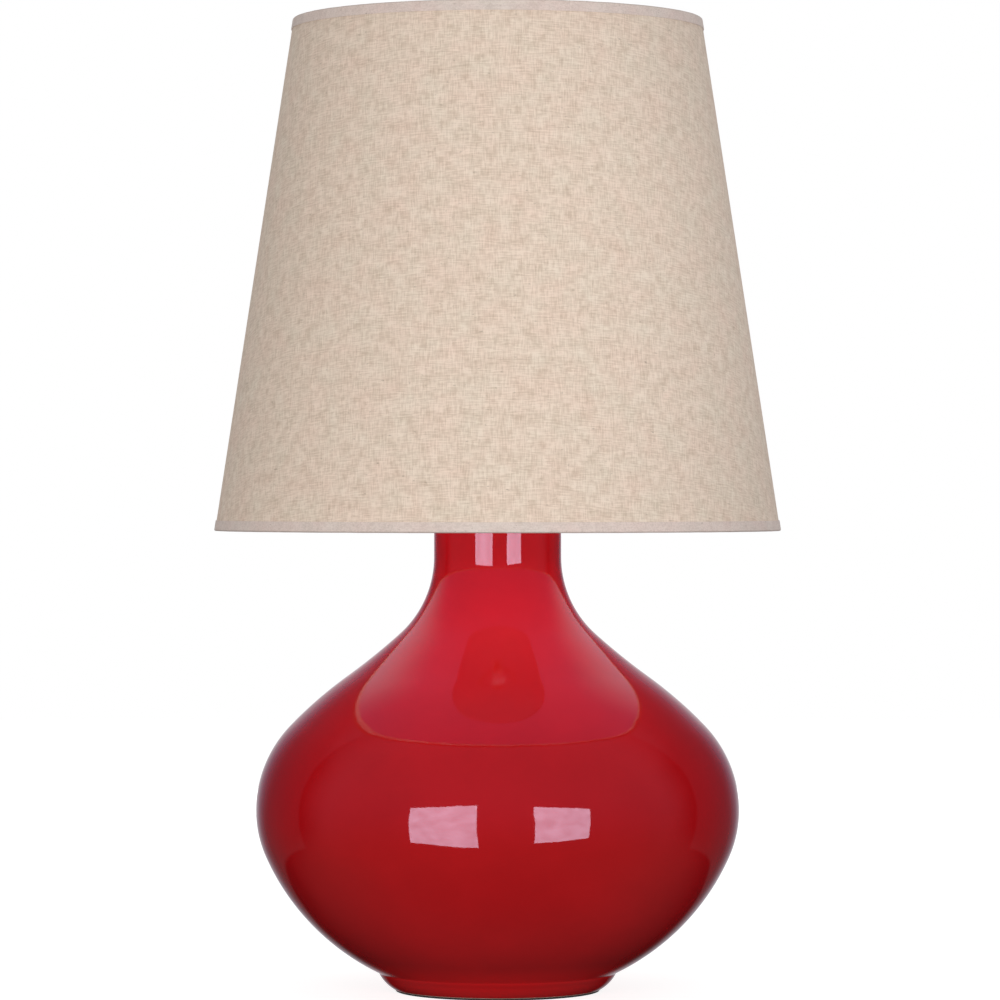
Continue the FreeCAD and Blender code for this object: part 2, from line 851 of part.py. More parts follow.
def make_terminal_screws():
    """The two slotted terminal screws, one each side of the block."""
    screws = []
    for side in (-1, 1):
        seat = block_radius - terminal_notch_depth + socket_gap
        start = point(side * seat, terminal_level)
        head = round_bar(terminal_head_radius, start, right * side, terminal_head_thickness)
        shank = round_bar(terminal_shank_radius, start, right * -side, terminal_shank_length)
        end_x = side * (seat + terminal_head_thickness)
        depth = terminal_head_thickness / 2
        slot = screw_slot(end_x, side, depth, terminal_head_radius, terminal_level)
        screws.append(head.fuse(shank).cut(slot))
    return Part.makeCompound(screws)


def make_screw_shell():
    """Cup that the bulb screws into, on top of the block, with a hole in its floor for the contact."""
    inner = bulb_base_radius + screw_shell_clearance
    floor = block_top + screw_shell_sheet
    path = [
        (inner, shell_top - socket_sheet - screw_shell_setback),
        (inner, floor),
        (screw_shell_hole_radius, floor),
    ]
    return turned(sheet_corners(path, [screw_shell_bend], screw_shell_sheet))


def make_centre_contact():
    """Spring tongue, flat on the block and bent up under the bulb's tip."""
    half = contact_length / 2
    high = block_top + contact_rise
    path = [(-half, block_top), (0, block_top), (contact_rise, high), (half, high)]
    section = rounded_face(sheet_corners(path, [contact_bend, contact_bend], contact_thickness))
    tongue = section.extrude(back * contact_width)
    tongue.translate(back * (-contact_width / 2))
    return tongue


def switch_notch():
    """The round-topped notch at the front of the shell and the paper sleeve, which slide over the shaft."""
    half_width = shaft_radius + shaft_notch_clearance
    depth = socket_cap_radius + overrun
    start = FreeCAD.Vector(0, -depth, switch_level)
    corner = FreeCAD.Vector(-half_width, -depth, block_level - overrun)
    slot = Part.makeBox(2 * half_width, depth, switch_level - block_level + overrun, corner)
    return round_bar(half_width, start, back, depth).fuse(slot)


def make_socket_insulator():
    """Paper sleeve inside the shell."""
    high = shell_top - socket_sheet - socket_rim_bend
    sleeve = ring(insulator_radius, insulator_radius - insulator_thickness, shell_low, high)
    return sleeve.cut(switch_notch())


def make_socket_shell():
    """Shell with its mouth turned in over the paper sleeve."""
    path = [
        (shell_radius, shell_low),
        (shell_radius, shell_top),
        (shell_radius - socket_rim_width, shell_top),
    ]
    shell = turned(sheet_corners(path, [socket_rim_bend], socket_sheet))
    return shell.cut(switch_notch())


def make_switch_shaft():
    start = FreeCAD.Vector(0, -shaft_inner_end, switch_level)
    return round_bar(shaft_radius, start, -back, shaft_reach - shaft_inner_end)


def make_switch_knob():
    """Fluted knob pushed on the shaft, turned about its own axis and then laid along the shaft."""
    outer_end = shaft_reach + knob_cap_thickness
    inner_end = outer_end - knob_length
    bore = shaft_radius + shaft_fit
    bore_end = shaft_reach + shaft_fit
    knob = turned(
        [
            (bore, inner_end, 0),
            (knob_neck_radius, inner_end, 0),
            (knob_neck_radius, inner_end + knob_neck_length, 0),
            (knob_radius, inner_end + knob_neck_length, 0),
            (knob_radius, outer_end, -knob_chamfer),
            (0, outer_end, 0),
            (0, bore_end, 0),
            (bore, bore_end, 0),
        ]
    )
    flute_axis = knob_radius + flute_radius / 2
    for i in range(flute_count):
        turn = 2 * math.pi * i / flute_count
        start = FreeCAD.Vector(flute_axis * math.cos(turn), flute_axis * math.sin(turn), inner_end)
        knob = knob.cut(round_bar(flute_radius, start, up, knob_length + overrun))
    knob.rotate(axis_point, right, quarter_turn)
    knob.translate(up * switch_level)
    return knob


def bulb_profile(inset):
    """One face of the glass from its end in the base up to the top of the globe, set in by the inset."""
    globe_level = bulb_tip_level + bulb_length - globe_radius
    # The neck's curve is centred outside the bulb and touches the globe
    curve_centre_x = bulb_neck_radius + bulb_neck_curve
    reach = globe_radius + bulb_neck_curve
    drop = math.sqrt(reach**2 - curve_centre_x**2)
    lean = math.acos(curve_centre_x / reach)
    collar = bulb_base_radius - bulb_base_sheet - bulb_collar_clearance - inset
    neck = bulb_neck_radius - inset
    straight = rounded_edges(
        [
            (collar, bulb_base_top - bulb_collar_depth, 0),
            (collar, bulb_base_top, 0),
            (neck, bulb_base_top + bulb_shoulder_height, 0),
            (neck, globe_level - drop, 0),
        ],
        False,
    )
    curves = smooth_run(
        point(neck, globe_level - drop),
        0,
        [(bulb_neck_curve + inset, lean), (globe_radius - inset, -lean - math.pi / 2)],
    )
    return straight + curves


def make_bulb_glass():
    """Pear-shaped envelope, open at its end inside the base."""
    outer = bulb_profile(0)
    inner = bulb_profile(bulb_wall)
    ends = []
    for first, second in ((outer[0].Vertexes[0], inner[0].Vertexes[0]), (outer[-1].Vertexes[-1], inner[-1].Vertexes[-1])):
        ends.append(Part.makeLine(first.Point, second.Point))
    return turned_face(joined_face(outer + inner + ends))


def make_bulb_base():
    """Metal screw base, drawn in to the insulator at its lower end."""
    low = bulb_tip_level + tip_height + bulb_insulator_height
    path = [
        (bulb_insulator_radius, low),
        (bulb_base_radius, low + bulb_base_taper),
        (bulb_base_radius, bulb_base_top),
    ]
    return turned(sheet_corners(path, [bulb_base_sheet], bulb_base_sheet))


def make_bulb_insulator():
    low = bulb_tip_level + tip_height
    high = low + bulb_insulator_height - insulator_seat_gap
    return turned(sharp([(0, low), (tip_radius + bulb_insulator_edge, low), (bulb_insulator_radius, high), (0, high)]))


def make_bulb_tip():
    high = bulb_tip_level + tip_height
    return turned(
        [
            (0, bulb_tip_level, 0),
            (tip_radius, bulb_tip_level, -tip_chamfer),
            (tip_radius, high, 0),
            (0, high, 0),
        ]
    )


def make_bulb_mount():
    """Flared glass stem, and the two leads with the filament between them."""
    low = bulb_base_top - bulb_collar_depth
    flare = bulb_base_radius - bulb_base_sheet - bulb_collar_clearance - bulb_wall - stem_fit
    top = low + stem_height
    stem = turned(
        [
            (0, low, 0),
            (flare, low, 0),
            (flare, low + bulb_wall, 0),
            (stem_radius, low + flare - stem_radius, 0),
            (stem_radius, top, -stem_chamfer),
            (0, top, 0),
        ]
    )
    filament_level = top + filament_lift
    half = filament_length / 2
    filament = round_bar(filament_radius, point(-half, filament_level), right, filament_length)
    below_top = round_bar(globe_radius, point(0, top - stem_height), up, stem_height)
    for side in (-1, 1):
        foot = point(side * lead_spacing / 2, top)
        way = point(side * half, filament_level) - foot
        start = foot - way * (lead_radius / way.Length)
        lead = round_bar(lead_radius, start, way, way.Length + lead_radius)
        filament = filament.fuse(lead.cut(below_top))
    return {"bulb_stem": stem, "bulb_filament": filament.removeSplitter()}


def shade_radius(level):
    """The linen's outer radius at a level."""
    return shade_top_radius + shade_slope * (shade_top - level)


def cone_wall(outset, thickness, low, high):
    """A wall parallel to the linen's outer face, which stands out from it by the outset."""
    low_radius = shade_radius(low) + outset
    high_radius = shade_radius(high) + outset
    corners = [(low_radius - thickness, low), (low_radius, low), (high_radius, high), (high_radius - thickness, high)]
    return turned(sharp(corners))


def make_shade_fabric():
    """Linen wall with the glued lap of its one seam, at the back."""
    edge = trim_thickness + glue_gap
    linen = cone_wall(0, linen_thickness, shade_bottom + edge, shade_top - edge)
    hem = trim_height + glue_gap
    lap = cone_wall(seam_thickness, seam_thickness + linen_thickness / 2, shade_bottom + hem, shade_top - hem)
    corner = FreeCAD.Vector(-seam_lap / 2, 0, shade_bottom)
    strip = Part.makeBox(seam_lap, shade_bottom_radius + overrun, shade_height, corner)
    return linen.fuse(lap.common(strip)).removeSplitter()


def make_shade_liner():
    edge = trim_thickness + glue_gap
    return cone_wall(-linen_thickness - glue_gap, liner_thickness, shade_bottom + edge, shade_top - edge)


def ring_place(edge_level, inward):
    """Level and radius of a ring's wire, inside the liner and just under the fold of the trim."""
    level = edge_level + inward * (trim_thickness + glue_gap + ring_wire_radius)
    liner_face = shade_radius(level) - linen_thickness - glue_gap - liner_thickness
    radius = liner_face - (ring_wire_radius + glue_gap) * math.hypot(1, shade_slope)
    return level, radius


def make_shade_ring(edge_level, inward):
    """A hoop of wire, whose section has flats in place of the full round."""
    level, radius = ring_place(edge_level, inward)
    corners = []
    for i in range(ring_wire_sides):
        angle = 2 * math.pi * (i + 0.5) / ring_wire_sides
        corners.append((radius + ring_wire_radius * math.cos(angle), level + ring_wire_radius * math.sin(angle)))
    return turned(sharp(corners))


def make_trim(edge_level, inward):
    """Linen tape folded over a rim: outside the linen, across the edge, and down inside the ring.
    inward is 1 where the shade lies above the rim and -1 where it lies below."""
    ring_radius = ring_place(edge_level, inward)[1]
    inner_face = ring_radius - ring_wire_radius - glue_gap
    fold = edge_level + inward * trim_thickness
    hem = edge_level + inward * trim_height
    inner_hem = edge_level + inward * trim_inner_height
    stand_off = glue_gap + trim_thickness
    corners = [
        (shade_radius(edge_level) + stand_off, edge_level),
        (shade_radius(hem) + stand_off, hem),
        (shade_radius(hem) + glue_gap, hem),
        (shade_radius(fold) + glue_gap, fold),
        (inner_face, fold),
        (inner_face, inner_hem),
        (inner_face - trim_thickness, inner_hem),
        (inner_face - trim_thickness, edge_level),
    ]
    return turned(sharp(corners))


def spider_arms(wire_radius):
    """The arms of the fitter, level at the hub and then rising to the middle of the top ring's wire."""
    ring_level, ring_radius = ring_place(shade_top, -1)
    hub_middle = (fitter_level + hub_top) / 2
    start = hub_radius - arm_wire_radius
    path = [
        (start, hub_middle, 0),
        (start + arm_level_length, hub_middle, arm_bend_radius),
        (ring_radius, ring_level - arm_ring_drop, 0),
    ]
    arm = wire_along(rounded_edges(path, False), wire_radius, right)
    arms = []
    for i in range(arm_count):
        placed = arm.copy()
        placed.rotate(axis_point, up, quarter_turn + full_turn * i / arm_count)
        arms.append(placed)
    return arms


def make_shade_spider():
    """Drilled hub that sits on the stud's disc, with its arms cut to the top ring's wire."""
    ring_level, ring_radius = ring_place(shade_top, -1)
    weld_radius = ring_wire_radius + arm_weld_gap
    beyond_ring = ring(ring_radius + arm_wire_radius, ring_radius, ring_level - overrun, ring_level + overrun)
    beyond_ring = beyond_ring.fuse(Part.makeTorus(ring_radius, weld_radius, point(0, ring_level), up))
    spider = ring(hub_radius, stud_radius + hub_clearance, fitter_level, hub_top)
    for arm in spider_arms(arm_wire_radius):
        spider = spider.fuse(arm.cut(beyond_ring))
    return spider


def make_top_trim():
    """The top rim's tape, slit on the inside where the arms pass through it."""
    trim = make_trim(shade_top, -1)
    for arm in spider_arms(arm_wire_radius + trim_notch_gap):
        trim = trim.cut(arm)
    return trim


def make_finial():
    """Ball finial on a waisted base, bored for the stud."""
    low = hub_top + finial_seat_gap
    base_top = low + finial_base_height
    ball_low = base_top + finial_neck_height
    ball_centre = ball_low + math.sqrt(finial_ball_radius**2 - finial_neck_radius**2)
    base = turned(
        [
            (0, low, 0),
            (finial_base_radius, low, 0),
            (finial_base_radius, base_top, -finial_base_chamfer),
            (finial_neck_radius, base_top, 0),
            (finial_neck_radius, ball_centre, 0),
            (0, ball_centre, 0),
        ]
    )
    ball = Part.makeSphere(finial_ball_radius, point(0, ball_centre))
    bore_length = stud_height - hub_thickness - finial_seat_gap + finial_bore_clearance
    bore = round_bar(stud_radius + finial_fit, point(0, low - overrun), up, bore_length + overrun)
    return base.fuse(ball).cut(bore).removeSplitter()


def make_pieces():
    """Every piece of the lamp by its name."""
    ceramic_body, floor_under = make_ceramic_body()
    return {
        "ceramic_body": ceramic_body,
        "base_felt": make_base_felt(),
        "cord_bushing": make_cord_bushing(),
        **make_base_hardware(floor_under),
        "neck_plug": make_neck_plug(),
        "vase_cap": make_vase_cap(),
        "neck_spacer": make_neck_spacer(),
        "harp_saddle": make_harp_saddle(),
        "saddle_nut": hex_nut(saddle_nut_flats, saddle_top, hub_level),
        "harp_bow": make_harp_bow(),
        "harp_ferrule_left": make_harp_ferrule(-leg_axis),
        "harp_ferrule_right": make_harp_ferrule(leg_axis),
        "harp_stud": make_harp_stud(),
        "socket_cap": make_socket_cap(),
        "cap_setscrew": make_cap_setscrew(),
        "socket_block": make_socket_block(),
        "terminal_screws": make_terminal_screws(),
        "screw_shell": make_screw_shell(),
        "centre_contact": make_centre_contact(),
        "socket_insulator": make_socket_insulator(),
        "socket_shell": make_socket_shell(),
        "switch_shaft": make_switch_shaft(),
        "switch_knob": make_switch_knob(),
        "bulb_glass": make_bulb_glass(),
        "bulb_base": make_bulb_base(),
        "bulb_insulator": make_bulb_insulator(),
        "bulb_tip": make_bulb_tip(),
        **make_bulb_mount(),
        "shade_spider": make_shade_spider(),
        "shade_top_ring": make_shade_ring(shade_top, -1),
        "shade_bottom_ring": make_shade_ring(shade_bottom, 1),
        "shade_liner": make_shade_liner(),
        "shade_fabric": make_shade_fabric(),
        "shade_top_trim": make_top_trim(),
        "shade_bottom_trim": make_trim(shade_bottom, 1),
        "finial": make_finial(),
    }


os.makedirs("parts", exist_ok=True)
for name, shape in make_pieces().items():
    shape.exportStep(f"parts/{name}.step")
    box = shape.optimalBoundingBox(False)
    solids = len(shape.Solids)
    print(f"{name}: solids {solids}, valid {shape.isValid()}, z {box.ZMin:.2f} to {box.ZMax:.2f}")
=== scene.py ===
# %% [markdown]
# A red table lamp, step by step
# The lamp is a hollow ceramic body with a glossy ruby glaze, a tapered linen shade on a wire harp, and the brass
# and steel that hold the two together. The frame brings the plain solids of all the pieces, each in its place.
# This lesson sets up the photograph's camera and light, then makes the body, the linen, its tapes and the liner
# anew with smoother forms, and gives every other piece a finish of its own.

# %% Load the frame
import json
import math

import bmesh
import bpy
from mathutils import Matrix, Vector

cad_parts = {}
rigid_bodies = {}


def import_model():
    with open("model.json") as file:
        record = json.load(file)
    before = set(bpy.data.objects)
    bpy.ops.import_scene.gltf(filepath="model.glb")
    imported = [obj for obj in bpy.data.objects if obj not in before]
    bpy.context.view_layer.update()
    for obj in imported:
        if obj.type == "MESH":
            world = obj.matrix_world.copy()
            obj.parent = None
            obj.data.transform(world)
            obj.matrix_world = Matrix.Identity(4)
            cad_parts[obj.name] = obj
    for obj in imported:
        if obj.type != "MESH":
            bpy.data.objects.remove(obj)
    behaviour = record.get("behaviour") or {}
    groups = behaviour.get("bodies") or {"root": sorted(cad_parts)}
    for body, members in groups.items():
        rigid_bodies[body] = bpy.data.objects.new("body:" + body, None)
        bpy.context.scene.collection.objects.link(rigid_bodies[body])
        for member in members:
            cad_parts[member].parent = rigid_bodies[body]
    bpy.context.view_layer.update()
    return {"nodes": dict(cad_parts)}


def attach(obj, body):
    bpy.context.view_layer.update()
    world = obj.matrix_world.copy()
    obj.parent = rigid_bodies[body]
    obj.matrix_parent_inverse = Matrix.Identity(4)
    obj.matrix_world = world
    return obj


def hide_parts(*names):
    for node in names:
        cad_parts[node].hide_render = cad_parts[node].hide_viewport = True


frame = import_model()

MM = 0.001
print("pieces in the frame:", len(frame["nodes"]))

# %% [markdown]
# The camera
# A long lens far from the lamp gives the photograph's calm perspective: the shade's lower rim bends down only
# a little. The camera looks level along +Y from a height of 405 mm, just over half the lamp's own. The small
# shifts place the lamp's axis and the horizon where the photograph has them, without turning the camera.

# %% Place the camera
camera_data = bpy.data.cameras.new("camera")
camera_data.lens = 170.6
camera_data.sensor_width = 36.0
camera_data.shift_x = 0.0024
camera_data.shift_y = -0.01
camera = bpy.data.objects.new("camera", camera_data)
camera.location = (0, -3.84, 0.405)
camera.rotation_euler = (math.radians(90), 0, 0)
bpy.context.scene.collection.objects.link(camera)
bpy.context.scene.camera = camera
bpy.context.scene.view_settings.view_transform = "Standard"
print("camera at", tuple(camera.location), "with a lens of", camera_data.lens, "mm")

# %% [markdown]
# Helpers for node trees
# Every finish is a small tree of nodes. One helper adds a node and sets or links its inputs, so each material
# below reads like a recipe. A value that is a socket becomes a link, and any other value is set on the input.


# %% Node helpers
def feed(tree, socket, value):
    """Links an input to another node's socket, or sets its value."""
    if isinstance(value, bpy.types.NodeSocket):
        tree.links.new(value, socket)
    else:
        socket.default_value = value


def add_node(tree, kind, settings=None, **inputs):
    """Adds a node. An underscore in an input's name stands for a space, and i0 is the first input, by number."""
    node = tree.nodes.new("ShaderNode" + kind)
    for name, value in (settings or {}).items():
        setattr(node, name, value)
    for name, value in inputs.items():
        key = int(name[1:]) if name[1:].isdigit() else name.replace("_", " ")
        feed(tree, node.inputs[key], value)
    return node


def calculate(tree, operation, first, second=0.0, third=0.0):
    """One step of arithmetic between two or three sockets or numbers."""
    return add_node(tree, "Math", {"operation": operation}, i0=first, i1=second, i2=third).outputs[0]


def stretched(tree, value, low, high, out_low=0.0, out_high=1.0, smooth=True):
    """Maps a value from one range to another and stops at its ends."""
    kind = "SMOOTHSTEP" if smooth else "LINEAR"
    limits = {"From_Min": low, "From_Max": high, "To_Min": out_low, "To_Max": out_high}
    return add_node(tree, "MapRange", {"interpolation_type": kind}, Value=value, **limits).outputs[0]


def mixed(tree, share, first, second, blend="MIX"):
    """Mixes two colours. share is how much of the second one shows."""
    kinds = {"data_type": "RGBA", "blend_type": blend}
    return add_node(tree, "Mix", kinds, i0=share, i6=first, i7=second).outputs[2]


def split(tree, vector):
    """The three parts of a vector, by their names X, Y and Z."""
    return add_node(tree, "SeparateXYZ", Vector=vector).outputs


def own_place(tree):
    """A point's place in its piece's own coordinates, in metres."""
    return add_node(tree, "TexCoord").outputs["Object"]


def light_rays(tree):
    """The kinds of rays, and 1 for those that look straight at a thing or through glass."""
    rays = add_node(tree, "LightPath").outputs
    return rays, calculate(tree, "ADD", rays["Is Camera Ray"], rays["Is Transmission Ray"])


def colour(red, green, blue):
    """A colour in linear light, with full opacity."""
    return (red, green, blue, 1.0)


print("node helpers are ready")

# %% [markdown]
# The white background
# The lamp stands in front of pure white, which the camera and glass see. In mirrors the set behind the lamp is a
# pale grey that gives the thin rims along the outline. The room in front is a dim grey, darker below, and a faint
# violet screen stands at each side, with a clean edge. A soft fill for matt surfaces comes from all around, and a
# little more of it from above.

# %% World
backdrop_tone, backdrop_falloff = 0.57, 2.8
screen_tone = 0.07
room_low_tone, room_high_tone, room_far_share = 0.15, 0.28, 0.08
fill_low, fill_high = 0.42, 0.46
world = bpy.data.worlds.new("studio")
bpy.context.scene.world = world
world.use_nodes = True
tree = world.node_tree
tree.nodes.clear()
heading = split(tree, add_node(tree, "TexCoord").outputs["Generated"])
up, away = heading["Z"], heading["Y"]
back_start = stretched(tree, up, -0.5, 0.0, 0.88, 0.7, False)
backdrop = stretched(tree, away, back_start, 1.0, 0.0, 1.0, False)
backdrop = calculate(tree, "POWER", backdrop, backdrop_falloff)
backdrop = calculate(tree, "MULTIPLY", backdrop, backdrop_tone)
room_end = stretched(tree, up, -0.6, -0.1, 0.95, 0.35)
room_end = calculate(tree, "ADD", room_end, stretched(tree, up, 0.4, 0.8, 0.0, 0.35))
front_room = stretched(tree, away, -0.1, room_end, 1.0, room_far_share)
room_tone = stretched(tree, up, -0.6, 0.5, room_low_tone, room_high_tone)
room_tone = calculate(tree, "ADD", room_tone, stretched(tree, up, -0.95, -0.6, -0.03, 0.0))
front_room = calculate(tree, "MULTIPLY", front_room, room_tone)
screen = stretched(tree, away, 0.3, 0.34, 0.0, screen_tone)
screen = calculate(tree, "MULTIPLY", screen, stretched(tree, up, -0.36, -0.33))
mirrored = calculate(tree, "ADD", calculate(tree, "ADD", backdrop, front_room), screen)
fill = stretched(tree, up, -0.3, 0.9, fill_low, fill_high)
rays, seen = light_rays(tree)
level = add_node(tree, "Mix", {"data_type": "FLOAT"}, i0=rays["Is Glossy Ray"], i2=fill, i3=mirrored)
level = add_node(tree, "Mix", {"data_type": "FLOAT"}, i0=seen, i2=level.outputs[0], i3=1.0)
tint = mixed(tree, stretched(tree, up, -0.6, 0.2), colour(1.0, 0.95, 0.95), colour(0.95, 0.84, 1.18))
tint = mixed(tree, stretched(tree, away, 0.88, 1.0), tint, colour(1.0, 0.95, 1.02))
tint = mixed(tree, rays["Is Glossy Ray"], colour(1, 1, 1), tint)
sky = add_node(tree, "Background", Color=tint, Strength=level.outputs[0])
add_node(tree, "OutputWorld", Surface=sky.outputs[0])
print("the world has", len(tree.nodes), "nodes")

# %% [markdown]
# The floor
# A pale sheet carries the lamp. It must look as white as the background and still keep the soft shadow at the
# foot, so it is lit as matt paper and glows for camera rays. Mirror rays pass through it to the world, which is
# pale only behind the lamp.


# %% Clean start, and the floor
def start_clean():
    """Leaves edit mode and deselects everything, because a tool acts on all that is selected."""
    if bpy.context.object and bpy.context.object.mode != "OBJECT":
        bpy.ops.object.mode_set(mode="OBJECT")
    bpy.ops.object.select_all(action="DESELECT")


def new_material(name):
    """A material with an empty tree."""
    material = bpy.data.materials.new(name)
    material.use_nodes = True
    material.node_tree.nodes.clear()
    return material, material.node_tree


def hide_from(thing, *rays):
    """Turns off the kinds of rays that shouldn't meet a lamp or a card."""
    for ray in rays:
        setattr(thing, "visible_" + ray, False)


start_clean()
bpy.ops.mesh.primitive_plane_add(size=9.0)
floor = bpy.context.object
floor.name = "floor"
floor_paper, tree = new_material("floor_paper")
seen_glow, bounced_glow, paper_grey = 0.85, 0.1, 0.45
rays, seen = light_rays(tree)
glow = calculate(tree, "MULTIPLY", seen, seen_glow)
glow = calculate(tree, "MULTIPLY_ADD", rays["Is Diffuse Ray"], bounced_glow, glow)
paper = add_node(tree, "BsdfDiffuse", Color=colour(paper_grey, paper_grey, paper_grey))
shine = add_node(tree, "Emission", Color=colour(1, 1, 1), Strength=glow)
lit = add_node(tree, "AddShader", i0=paper.outputs[0], i1=shine.outputs[0])
add_node(tree, "OutputMaterial", Surface=lit.outputs[0])
floor.data.materials.append(floor_paper)
hide_from(floor, "glossy")
print("floor of", round(floor.dimensions.x, 1), "m")

# %% [markdown]
# Soft lamps
# Two large lamps in front light the matt linen evenly, with a weak fall towards its sides. The left one is a
# little warmer. A small one with a grid adds a little on the right of the shade alone, and weak ones stand behind
# and above. A mirror would show them as bright squares, so they are hidden from glossy rays, and cards of the
# right shape stand in for them.


# %% Soft lamps
def soft_lamp(name, place, target, width, height, watts, spread=180):
    """An area lamp that looks at its target. A small spread, in degrees, works like a grid in front of it."""
    data = bpy.data.lights.new(name, "AREA")
    data.spread = math.radians(spread)
    data.shape = "RECTANGLE"
    data.size = width
    data.size_y = height
    data.energy = watts
    lamp = bpy.data.objects.new(name, data)
    lamp.location = place
    lamp.rotation_euler = (Vector(target) - Vector(place)).to_track_quat("-Z", "Y").to_euler()
    bpy.context.scene.collection.objects.link(lamp)
    hide_from(lamp, "glossy", "camera")
    return lamp


lamp_middle = (0, 0, 0.38)
warm_lamp = soft_lamp("lamp_left", (-1.1, -2.1, 0.4), lamp_middle, 0.9, 0.6, 13.5)
warm_lamp.data.color = (1.0, 0.96, 0.91)
soft_lamp("lamp_right", (0.9, -2.2, 0.42), lamp_middle, 0.9, 0.6, 12.1)
soft_lamp("lamp_shade", (1.3, -0.9, 0.66), (0.1, -0.05, 0.6), 0.25, 0.3, 0.17, 42)
soft_lamp("lamp_behind", (0, 2.6, 0.5), (0, 0, 0.4), 1.2, 1.0, 9.0)
soft_lamp("lamp_above", (0, -0.2, 2.2), (0, 0, 0.4), 1.0, 1.0, 4.0)

# %% [markdown]
# Cards that the glaze mirrors
# The belly shows two soft rectangles and the neck two thin strips. They are mirror images of tall light boxes
# beside the camera, seen from the belly 10 to 44 degrees to the left and 18 to 46 to the right. The bright floor
# in front of them carries the image down, so the cards reach below the floor, which mirror rays don't see.
# The cards glow for mirror rays alone, so they change nothing else. A grid in front of them keeps them off the
# rays that graze the body, which would otherwise burn holes in its outline when it is seen from behind.


# %% Cards
def grid_mask(tree):
    """1 for rays that leave the lamp nearly square to its surface, and 0 for those that graze it.

    A ray's distance from the lamp's axis, as a share of the body's radius at that height, tells the two apart.
    """
    shade_level, belly_level, belly_reach, neck_reach = 0.33, 0.2, 0.195, 0.055
    seat = add_node(tree, "NewGeometry")
    place, way = (split(tree, seat.outputs[name]) for name in ("Position", "Incoming"))
    cross = [calculate(tree, "MULTIPLY", place[a], way[b]) for a, b in ("XY", "YX", "XX", "YY")]
    squares = [calculate(tree, "POWER", way[axis], 2.0) for axis in "XY"]
    flat_way = calculate(tree, "ADD", *squares)
    apart = calculate(tree, "ABSOLUTE", calculate(tree, "SUBTRACT", cross[0], cross[1]))
    apart = calculate(tree, "DIVIDE", apart, calculate(tree, "SQRT", flat_way))
    back = calculate(tree, "DIVIDE", calculate(tree, "ADD", cross[2], cross[3]), flat_way)
    level = calculate(tree, "SUBTRACT", place["Z"], calculate(tree, "MULTIPLY", way["Z"], back))
    radius = stretched(tree, level, belly_level, shade_level, belly_reach, neck_reach)
    return stretched(tree, calculate(tree, "DIVIDE", apart, radius), 0.7, 0.88, 1.0, 0.03)


def mirror_card(name, corners, strength):
    """A flat four-sided card that glows only in mirrors, made from a plane by moving its corners."""
    start_clean()
    bpy.ops.mesh.primitive_plane_add(size=1.0)
    card = bpy.context.object
    card.name = name
    for vertex, corner in zip(card.data.vertices, corners):
        vertex.co = corner
    material, tree = new_material(name)
    uneven = add_node(tree, "TexNoise", Vector=own_place(tree), Scale=4.0, Detail=2.0)
    uneven = stretched(tree, uneven.outputs[0], 0.3, 0.7, 0.85 * strength, 1.15 * strength, False)
    uneven = calculate(tree, "MULTIPLY", uneven, grid_mask(tree))
    glow = add_node(tree, "Emission", Color=colour(0.84, 0.76, 1.0), Strength=uneven)
    add_node(tree, "OutputMaterial", Surface=glow.outputs[0])
    card.data.materials.append(material)
    hide_from(card, "camera", "diffuse", "transmission", "shadow", "volume_scatter")


belly_front = Vector((0, -0.195, 0.146))
card_distance = 1.6
card_strength = 8.5
for side, angles_across, angles_up in (("left", (-43.6, -10.0), (-26.0, 15.3)), ("right", (18.5, 45.6), (-22.0, 14.6))):
    across = [belly_front.x + card_distance * math.tan(math.radians(angle)) for angle in angles_across]
    levels = [belly_front.z + card_distance * math.tan(math.radians(angle)) for angle in angles_up]
    corners = [(x, belly_front.y - card_distance, z) for z in levels for x in across]
    mirror_card("card_" + side, corners, card_strength)
print("cards stand", card_distance, "m in front of the belly")

# %% [markdown]
# Light inside the shade
# The linen and its liner let daylight through, so the inside of the shade is bright. The glaze of the shoulder
# mirrors it as a pale arch that is brightest at both sides. A cone card just inside the liner holds this image:
# dim violet, and nearly white by the lower rim at the sides. For matt surfaces, a small soft lamp inside the
# shade, pointing down, stands in.

# %% Glow in the shade
start_clean()
bpy.ops.mesh.primitive_cone_add(
    vertices=96, radius1=0.218, radius2=0.161, depth=0.405, end_fill_type="NOTHING", location=(0.003, 0, 0.577)
)
cone_card = bpy.context.object
cone_card.name = "cone_card"
cone_paper, tree = new_material("cone_card")
way = split(tree, own_place(tree))
squares = [calculate(tree, "POWER", way[axis], 2.0) for axis in "XY"]
round_way = calculate(tree, "SQRT", calculate(tree, "ADD", *squares))
sideways = stretched(tree, calculate(tree, "DIVIDE", way["Y"], round_way), -0.15, 0.5)
sideways = calculate(tree, "MULTIPLY", sideways, stretched(tree, way["Z"], -0.18, 0.02, 1.0, 0.0))
glow = mixed(tree, sideways, colour(0.4, 0.27, 0.5), colour(0.84, 0.73, 0.88))
add_node(tree, "OutputMaterial", Surface=add_node(tree, "Emission", Color=glow, Strength=1.0).outputs[0])
cone_card.data.materials.append(cone_paper)
hide_from(cone_card, "camera", "diffuse", "transmission", "shadow", "volume_scatter")
soft_lamp("lamp_inside", (0, 0, 0.48), (0, 0, 0), 0.28, 0.28, 0.78)
print("cone card of", round(cone_card.dimensions.x, 3), "m")

# %% [markdown]
# Drawing an outline with extrude and spin
# A potter's body is all one turned outline. It is drawn like this: one point is extruded into short lines and
# spun into arcs, each arc starting in the direction in which the last one ended, so the outline never kinks.
# A step is a size and a turn. With no turn the step is a line of that size, and otherwise an arc of that radius.
# About +Y, the spin tool turns the other way round than this lesson counts, so its angle gets a minus.


